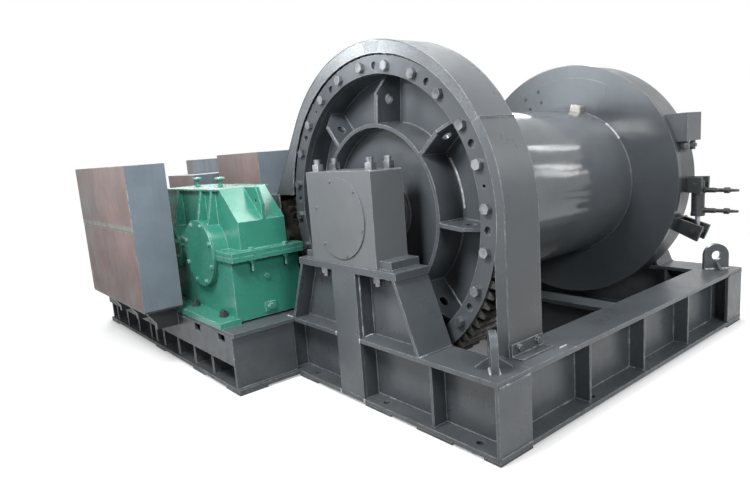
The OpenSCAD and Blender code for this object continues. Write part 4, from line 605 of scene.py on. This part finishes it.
def frame_beads():
    """Seams of webs, flanges and stiffeners on the outer sides of the four beams."""
    stiffener_y = (0.638, 0.658)        # faces of an end beam's stiffener
    end_beam_rim_x = 1.384
    side_beam_rim_y = 1.068
    side_web_y = 0.979
    side_stiffener_x = (-0.618, -0.028, 0.562)
    side_end_x = 1.158
    stiffener_side = 0.009
    flange_y, flange_z, flange_x = 1.0905, (0.037, 0.375), (1.395, 1.165)
    out = []
    for sx in (-1, 1):
        x = sx * END_WEB_X
        for sy in (-1, 1):
            for z in (LOW_Z, HIGH_Z):
                out.append([(x, sy * COLUMN_Y, z), (x, sy * stiffener_y[0], z)])
                out.append([(x, sy * stiffener_y[1], z), (x, sy * side_beam_rim_y, z)])
            for y in (COLUMN_Y, *stiffener_y, side_beam_rim_y):
                out.append([(x, sy * y, LOW_Z), (x, sy * y, HIGH_Z)])
            for y in stiffener_y:
                for z in (HIGH_Z, LOW_Z):
                    out.append([(x, sy * y, z), (sx * end_beam_rim_x, sy * y, z)])
    for sy in (-1, 1):
        y = sy * side_web_y
        for z in (LOW_Z, HIGH_Z):
            out.append([(-side_end_x, y, z), (side_end_x, y, z)])
        for middle in side_stiffener_x:
            for x in (middle - stiffener_side, middle + stiffener_side):
                out.append([(x, y, LOW_Z), (x, y, HIGH_Z)])
                for z in (HIGH_Z, LOW_Z):
                    out.append([(x, y, z), (x, sy * side_beam_rim_y, z)])
        for sx in (-1, 1):
            out.append([(sx * side_end_x, y, LOW_Z), (sx * side_end_x, y, HIGH_Z)])
            for z in flange_z:
                out += mirrored([[(x, flange_y, z) for x in flange_x]], sx, sy)
    return out


# Seams of one side of a pedestal
PEDESTAL_SEAMS = (
    ((1.372, COLUMN_Y, DECK_Z), (1.372, COLUMN_Y, 0.777)),              # column's outer edge
    ((END_WEB_X, COLUMN_Y, DECK_Z), (END_WEB_X, COLUMN_Y, 0.776)),      # column on the web
    ((END_WEB_X, COLUMN_Y, DECK_Z), (END_WEB_X, 0.570, DECK_Z)),        # web on its foot
    ((END_WEB_X, COLUMN_Y, 0.775), (END_WEB_X, 0.418, 0.775)),          # web under the top plate
    ((END_WEB_X, 0.573, DECK_Z), (END_WEB_X, 0.419, 0.775)),            # slanted leg on the web
    ((1.398, 0.597, DECK_Z), (1.162, 0.597, DECK_Z)),                   # slanted leg's foot
    ((1.398, 0.443, 0.776), (1.162, 0.443, 0.776)),                     # slanted leg's head
    ((1.37, 0.396, 0.819), (1.172, 0.396, 0.819)),                      # stop block's end
    ((1.373, 0.302, 0.819), (1.373, 0.394, 0.819)),                     # stop block's side
)
# Seams of the column on the end beam
COLUMN_SEAMS = (
    ((1.401, -0.110, 0.375), (1.401, -0.110, 0.400)),
    ((1.401, 0.110, 0.375), (1.401, 0.110, 0.400)),
    ((1.400, -0.108, 0.039), (1.400, 0.108, 0.039)),
)


def pedestal_beads():
    out = []
    for sx in (-1, 1):
        for sy in (-1, 1):
            out += mirrored(PEDESTAL_SEAMS, sx, sy)
        out += mirrored(COLUMN_SEAMS, sx)
    return out


def drum_beads():
    """Seams of the ribbed gear end, of the barrel on both discs and of the brake rim."""
    disc_x, plate_x, back_x = -0.929, -1.02, 0.871  # gear end, its hub plate, brake end
    tube_r, rim_r, barrel_r = 0.514, 0.783, 0.552
    rib_side, rib_top_x, rim_top_x, rib_foot_x = 0.0105, -1.115, -1.025, -0.935
    out = [ring_line(disc_x, tube_r), ring_line(disc_x, rim_r, n=120),
           ring_line(plate_x, 0.488), ring_line(plate_x, 0.187, n=60),
           ring_line(-0.898, barrel_r), ring_line(0.827, barrel_r)]
    for i in range(RIBS):
        for side in (-1, 1):
            def at(x, r):
                return beside_rib(x, r, FIRST_RIB + RIB_STEP * i, side * rib_side)
            out.append([at(-0.931, 0.515), at(-0.931, 0.782)])
            out.append([at(rib_top_x, 0.513), at(rib_foot_x, 0.513)])
            out.append([at(rim_top_x, rim_r), at(rib_foot_x, rim_r)])
            if side > 0:
                out.append([at(-1.112, 0.516), at(-1.112, 0.670)])
            else:
                out.append([at(-1.03, 0.515), at(-0.94, 0.515)])
    out.append(ring_line(back_x, 0.847, n=120))
    out.append(ring_line(back_x, 0.394, n=80))
    return out


def guard_beads():
    """Seams where the guard's side sheets meet its rolled sheet, round the arch's own centre."""
    front_x, rear_x = -1.1275, -0.8595
    arch = dict(y=0.012, z=SHAFT_Z + 0.033)
    sheet_r, leg_y = 0.932, -0.941
    out = [ring_line(x, sheet_r, 31, 145, 90, **arch) for x in (front_x, rear_x)]
    for x in (front_x, rear_x):
        out.append([(x, 0.7755, 1.6475), (x, 1.1105, 1.172)])
        out.append([(x, leg_y, DECK_Z), (x, leg_y, SHAFT_Z)] + ring_line(x, -leg_y, 0, 30, 30))
    out.append([(-1.12, -0.947, DECK_Z), (-0.865, -0.947, DECK_Z)])
    out.append([(-1.105, 1.092, 1.172), (-0.868, 1.092, 1.172)])
    out.append([(-1.118, -0.8145, 1.5665), (-0.866, -0.8145, 1.5665)])
    return out


def base_beads():
    """Seams of the drive base: posts under the apron, the near side plate and the deck's edges."""
    posts, first_y, pitch = 8, 0.98, 0.3
    post_x, post_in_x, post_top_z, post_faces = -1.818, -1.60, 0.184, (-0.002, 0.018)
    apron_x, arm_x, frame_x, deck_z = -1.8405, -1.843, -1.402, 0.374
    out = []
    for k in range(posts):
        for off in post_faces:
            y = first_y + pitch * k + off
            out.append([(post_x, y, LOW_Z), (post_x, y, post_top_z)])
            out.append([(post_x, y, 0.039), (post_in_x, y, 0.039)])
    for z in (LOW_Z, HIGH_Z):
        out.append([(-1.838, 0.600, z), (frame_x, 0.600, z)])
    out.append([(apron_x, 0.602, deck_z), (apron_x, 2.063, deck_z)])
    out.append([(apron_x, 2.067, deck_z), (apron_x, 3.248, deck_z)])
    out.append([(apron_x, 0.602, 0.187), (apron_x, 0.602, 0.373)])
    for y in (1.461, 1.501, 1.870, 1.910, 2.279, 2.319):        # arms of the valve rack
        out.append([(arm_x, y, 0.302), (arm_x, y, 0.398)])
    for x in (-0.2, -0.0615):
        out.append([(x, 1.095, 0.373), (x, 3.245, 0.373)])
    return out


def gearbox_beads():
    """Raised lines of the casting's joints and ribs."""
    foot_x, foot_z = -1.7205, 0.442
    out = [[(foot_x, 0.752, foot_z), (foot_x, 1.944, foot_z)]]
    for y in (1.0325, 1.0545, 1.201, 1.223, 1.604, 1.626):      # ribs under the joint flange
        out.append([(-1.700, y, 0.872), (-1.719, y, 1.018)])
    for x in (-1.455, -1.429):                                  # rib on the upper housing
        out.append([(x, 0.753, 1.053), (x, 0.970, 1.261)])
    return out


def lug_beads():
    """Fresh welds along both feet of each lifting lug, which stand at 45 degrees."""
    diagonal, half_l, half_t = 0.7071, 0.083, 0.02
    out = []
    for x, y, s in ((-1.27, -0.96, 1), (1.27, -0.96, -1), (1.27, 0.96, 1)):
        ux, uy = diagonal, diagonal * s
        for side in (-1, 1):
            foot_x, foot_y = x - side * half_t * uy, y + side * half_t * ux
            out.append([(foot_x + end * half_l * ux, foot_y + end * half_l * uy, DECK_Z)
                        for end in (-1, 1)])
    return out


def fresh_drum_beads():
    """The unpainted welds that show white on the drum: by the hub, along a rib, by the wedge."""
    low_rib = FIRST_RIB - RIB_STEP
    return [ring_line(-0.926, 0.521, 2, 34, 30),
            [beside_rib(-0.927, r, low_rib, -0.013) for r in (0.57, 0.76)],
            ring_line(0.825, 0.555, 34, 50, 12),
            ring_line(-0.926, 0.780, 40, 52, 10)]


def fresh_frame_beads():
    """Short bright welds at corners of the pedestal and the deck."""
    outer_x, deck_z = -1.4025, 0.403
    out = []
    for y in (-COLUMN_Y, COLUMN_Y):
        out.append([(outer_x, y, 0.376), (outer_x, y, DECK_Z)])
        out.append([(outer_x, y, 0.014), (outer_x, y, LOW_Z)])
        out.append([(-1.375, y, deck_z), (-1.300, y, deck_z)])
    out.append([(-1.399, -0.598, deck_z), (-1.350, -0.598, deck_z)])
    out.append([(-1.395, -0.444, 0.777), (-1.345, -0.444, 0.777)])
    out.append([(-0.86, -1.045, deck_z), (-0.80, -1.045, deck_z)])
    out.append([(-1.402, 0.60, deck_z), (-1.402, 0.66, deck_z)])
    return out


# Bead pieces: name, seams, body, slot, look, radius, seed
BEADS = (
    ("frame_welds", frame_beads, "frame", "frame_paint", "weld", 0.006, 1),
    ("pedestal_welds", pedestal_beads, "frame", "frame_paint", "weld", 0.006, 2),
    ("drum_welds", drum_beads, "drum", "drum_paint", "seam", 0.006, 3),
    ("guard_welds", guard_beads, "frame", "guard_paint", "seam", 0.003, 4),
    ("base_welds", base_beads, "frame", "frame_paint", "weld", 0.005, 6),
    ("gearbox_fillets", gearbox_beads, "frame", "green_paint", "green_weld", 0.004, 7),
    ("lug_welds", lug_beads, "frame", "frame_paint", "fresh", 0.007, 5),
    ("fresh_drum_welds", fresh_drum_beads, "drum", "drum_paint", "fresh", 0.008, 8),
    ("fresh_frame_welds", fresh_frame_beads, "frame", "frame_paint", "fresh", 0.005, 9),
)


def add_camera():
    cam = bpy.data.cameras.new("photo_camera")
    cam.sensor_fit = "HORIZONTAL"
    cam.sensor_width = SENSOR_MM
    cam.lens = LENS_MM
    cam.clip_end = CLIP_END
    ob = bpy.data.objects.new("photo_camera", cam)
    bpy.context.scene.collection.objects.link(ob)
    ob.matrix_world = Matrix(CAMERA_PLACE)
    bpy.context.scene.camera = ob


def area_light(name, place, target, size, power, spread=WIDE, along=None):
    """A rectangular lamp that looks at its target; along turns its long side."""
    li = bpy.data.lights.new(name, "AREA")
    li.shape = "RECTANGLE"
    li.size, li.size_y = size
    li.energy = power
    li.spread = math.radians(spread)
    ob = bpy.data.objects.new(name, li)
    aim = Vector(target) - Vector(place)
    if along is None:
        ob.rotation_euler = aim.to_track_quat("-Z", "Y").to_euler()
    else:
        z = -aim.normalized()
        x = (Vector(along) - Vector(along).dot(z) * z).normalized()
        ob.rotation_euler = Matrix((x, z.cross(x), z)).transposed().to_euler()
    ob.location = place
    ob.visible_camera = False
    bpy.context.scene.collection.objects.link(ob)


def floor_material():
    """A dull floor for the light, which is seen as white with the winch's shadow on it."""
    mat = new_material("floor_white")
    t = Tree(mat.node_tree)
    t.nt.nodes.remove(t.nt.nodes["Principled BSDF"])
    bounce = t.node("ShaderNodeBsdfDiffuse")
    bounce.inputs["Color"].default_value = FLOOR_BOUNCE
    seen = t.node("ShaderNodeBsdfDiffuse")
    seen.inputs["Color"].default_value = FLOOR_SEEN

    def outside(place, middle, half):
        return t.math("SUBTRACT", t.math("ABSOLUTE", t.math("SUBTRACT", place, middle)), half)
    position = t.node("ShaderNodeNewGeometry").outputs["Position"]
    x, y = t.part(position, "X"), t.part(position, "Y")
    near, far = (t.math("MAXIMUM", outside(x, cx, hx), outside(y, cy, hy))
                 for cx, cy, hx, hy in FOOTPRINTS)
    away = t.math("MINIMUM", near, far)

    glow = t.node("ShaderNodeEmission")
    t.link(t.ramp(away, GLOW_FROM, GLOW_FULL, 0.0, FLOOR_GLOW, smooth=True),
           glow.inputs["Strength"])
    lit = t.node("ShaderNodeAddShader")
    t.link(seen.outputs[0], lit.inputs[0])
    t.link(glow.outputs[0], lit.inputs[1])
    white = t.node("ShaderNodeEmission")
    white.inputs["Strength"].default_value = 1.0
    fade = t.ramp(away, WHITE_FROM, WHITE_FULL, smooth=True)
    shown = t.mix_shader(fade, lit.outputs[0], white.outputs[0])
    surface = t.mix_shader(t.seen_directly(), bounce.outputs[0], shown)
    t.link(surface, t.nt.nodes["Material Output"].inputs["Surface"])
    return mat


def add_world():
    """A soft sky for the light, which is seen as white."""
    world = bpy.data.worlds.new("studio")
    bpy.context.scene.world = world
    world.use_nodes = True
    t = Tree(world.node_tree)
    sky = t.nt.nodes["Background"]
    sky.inputs["Color"].default_value = SKY
    sky.inputs["Strength"].default_value = SKY_STRENGTH
    white = t.node("ShaderNodeBackground")
    white.inputs["Color"].default_value = (1, 1, 1, 1)
    white.inputs["Strength"].default_value = 1.0
    surface = t.mix_shader(t.seen_directly(), sky.outputs[0], white.outputs[0])
    t.link(surface, t.nt.nodes["World Output"].inputs["Surface"])


def add_stage():
    """A pale floor that keeps the shadow and fades to white away from the winch, and soft lamps."""
    bpy.ops.mesh.primitive_plane_add(size=FLOOR_SIZE, location=(0, 0, FLOOR_Z))
    floor = bpy.context.object
    floor.name = "floor"
    floor.data.materials.append(floor_material())
    add_world()
    for lamp in LAMPS:
        area_light(*lamp)
    for k, (place, along, power) in enumerate(STREAKS):
        area_light("streak_%d" % k, place, STREAK_TARGET, STREAK_SIZE, power, along=along)
    bpy.context.scene.view_settings.view_transform = "Standard"


add_camera()
MATS = make_materials()
dress_nodes(MATS)
for bead_name, seams, body, slot, look, radius, seed in BEADS:
    add_beads(bead_name, seams(), body, MATS[look], radius, seed)
add_stage()
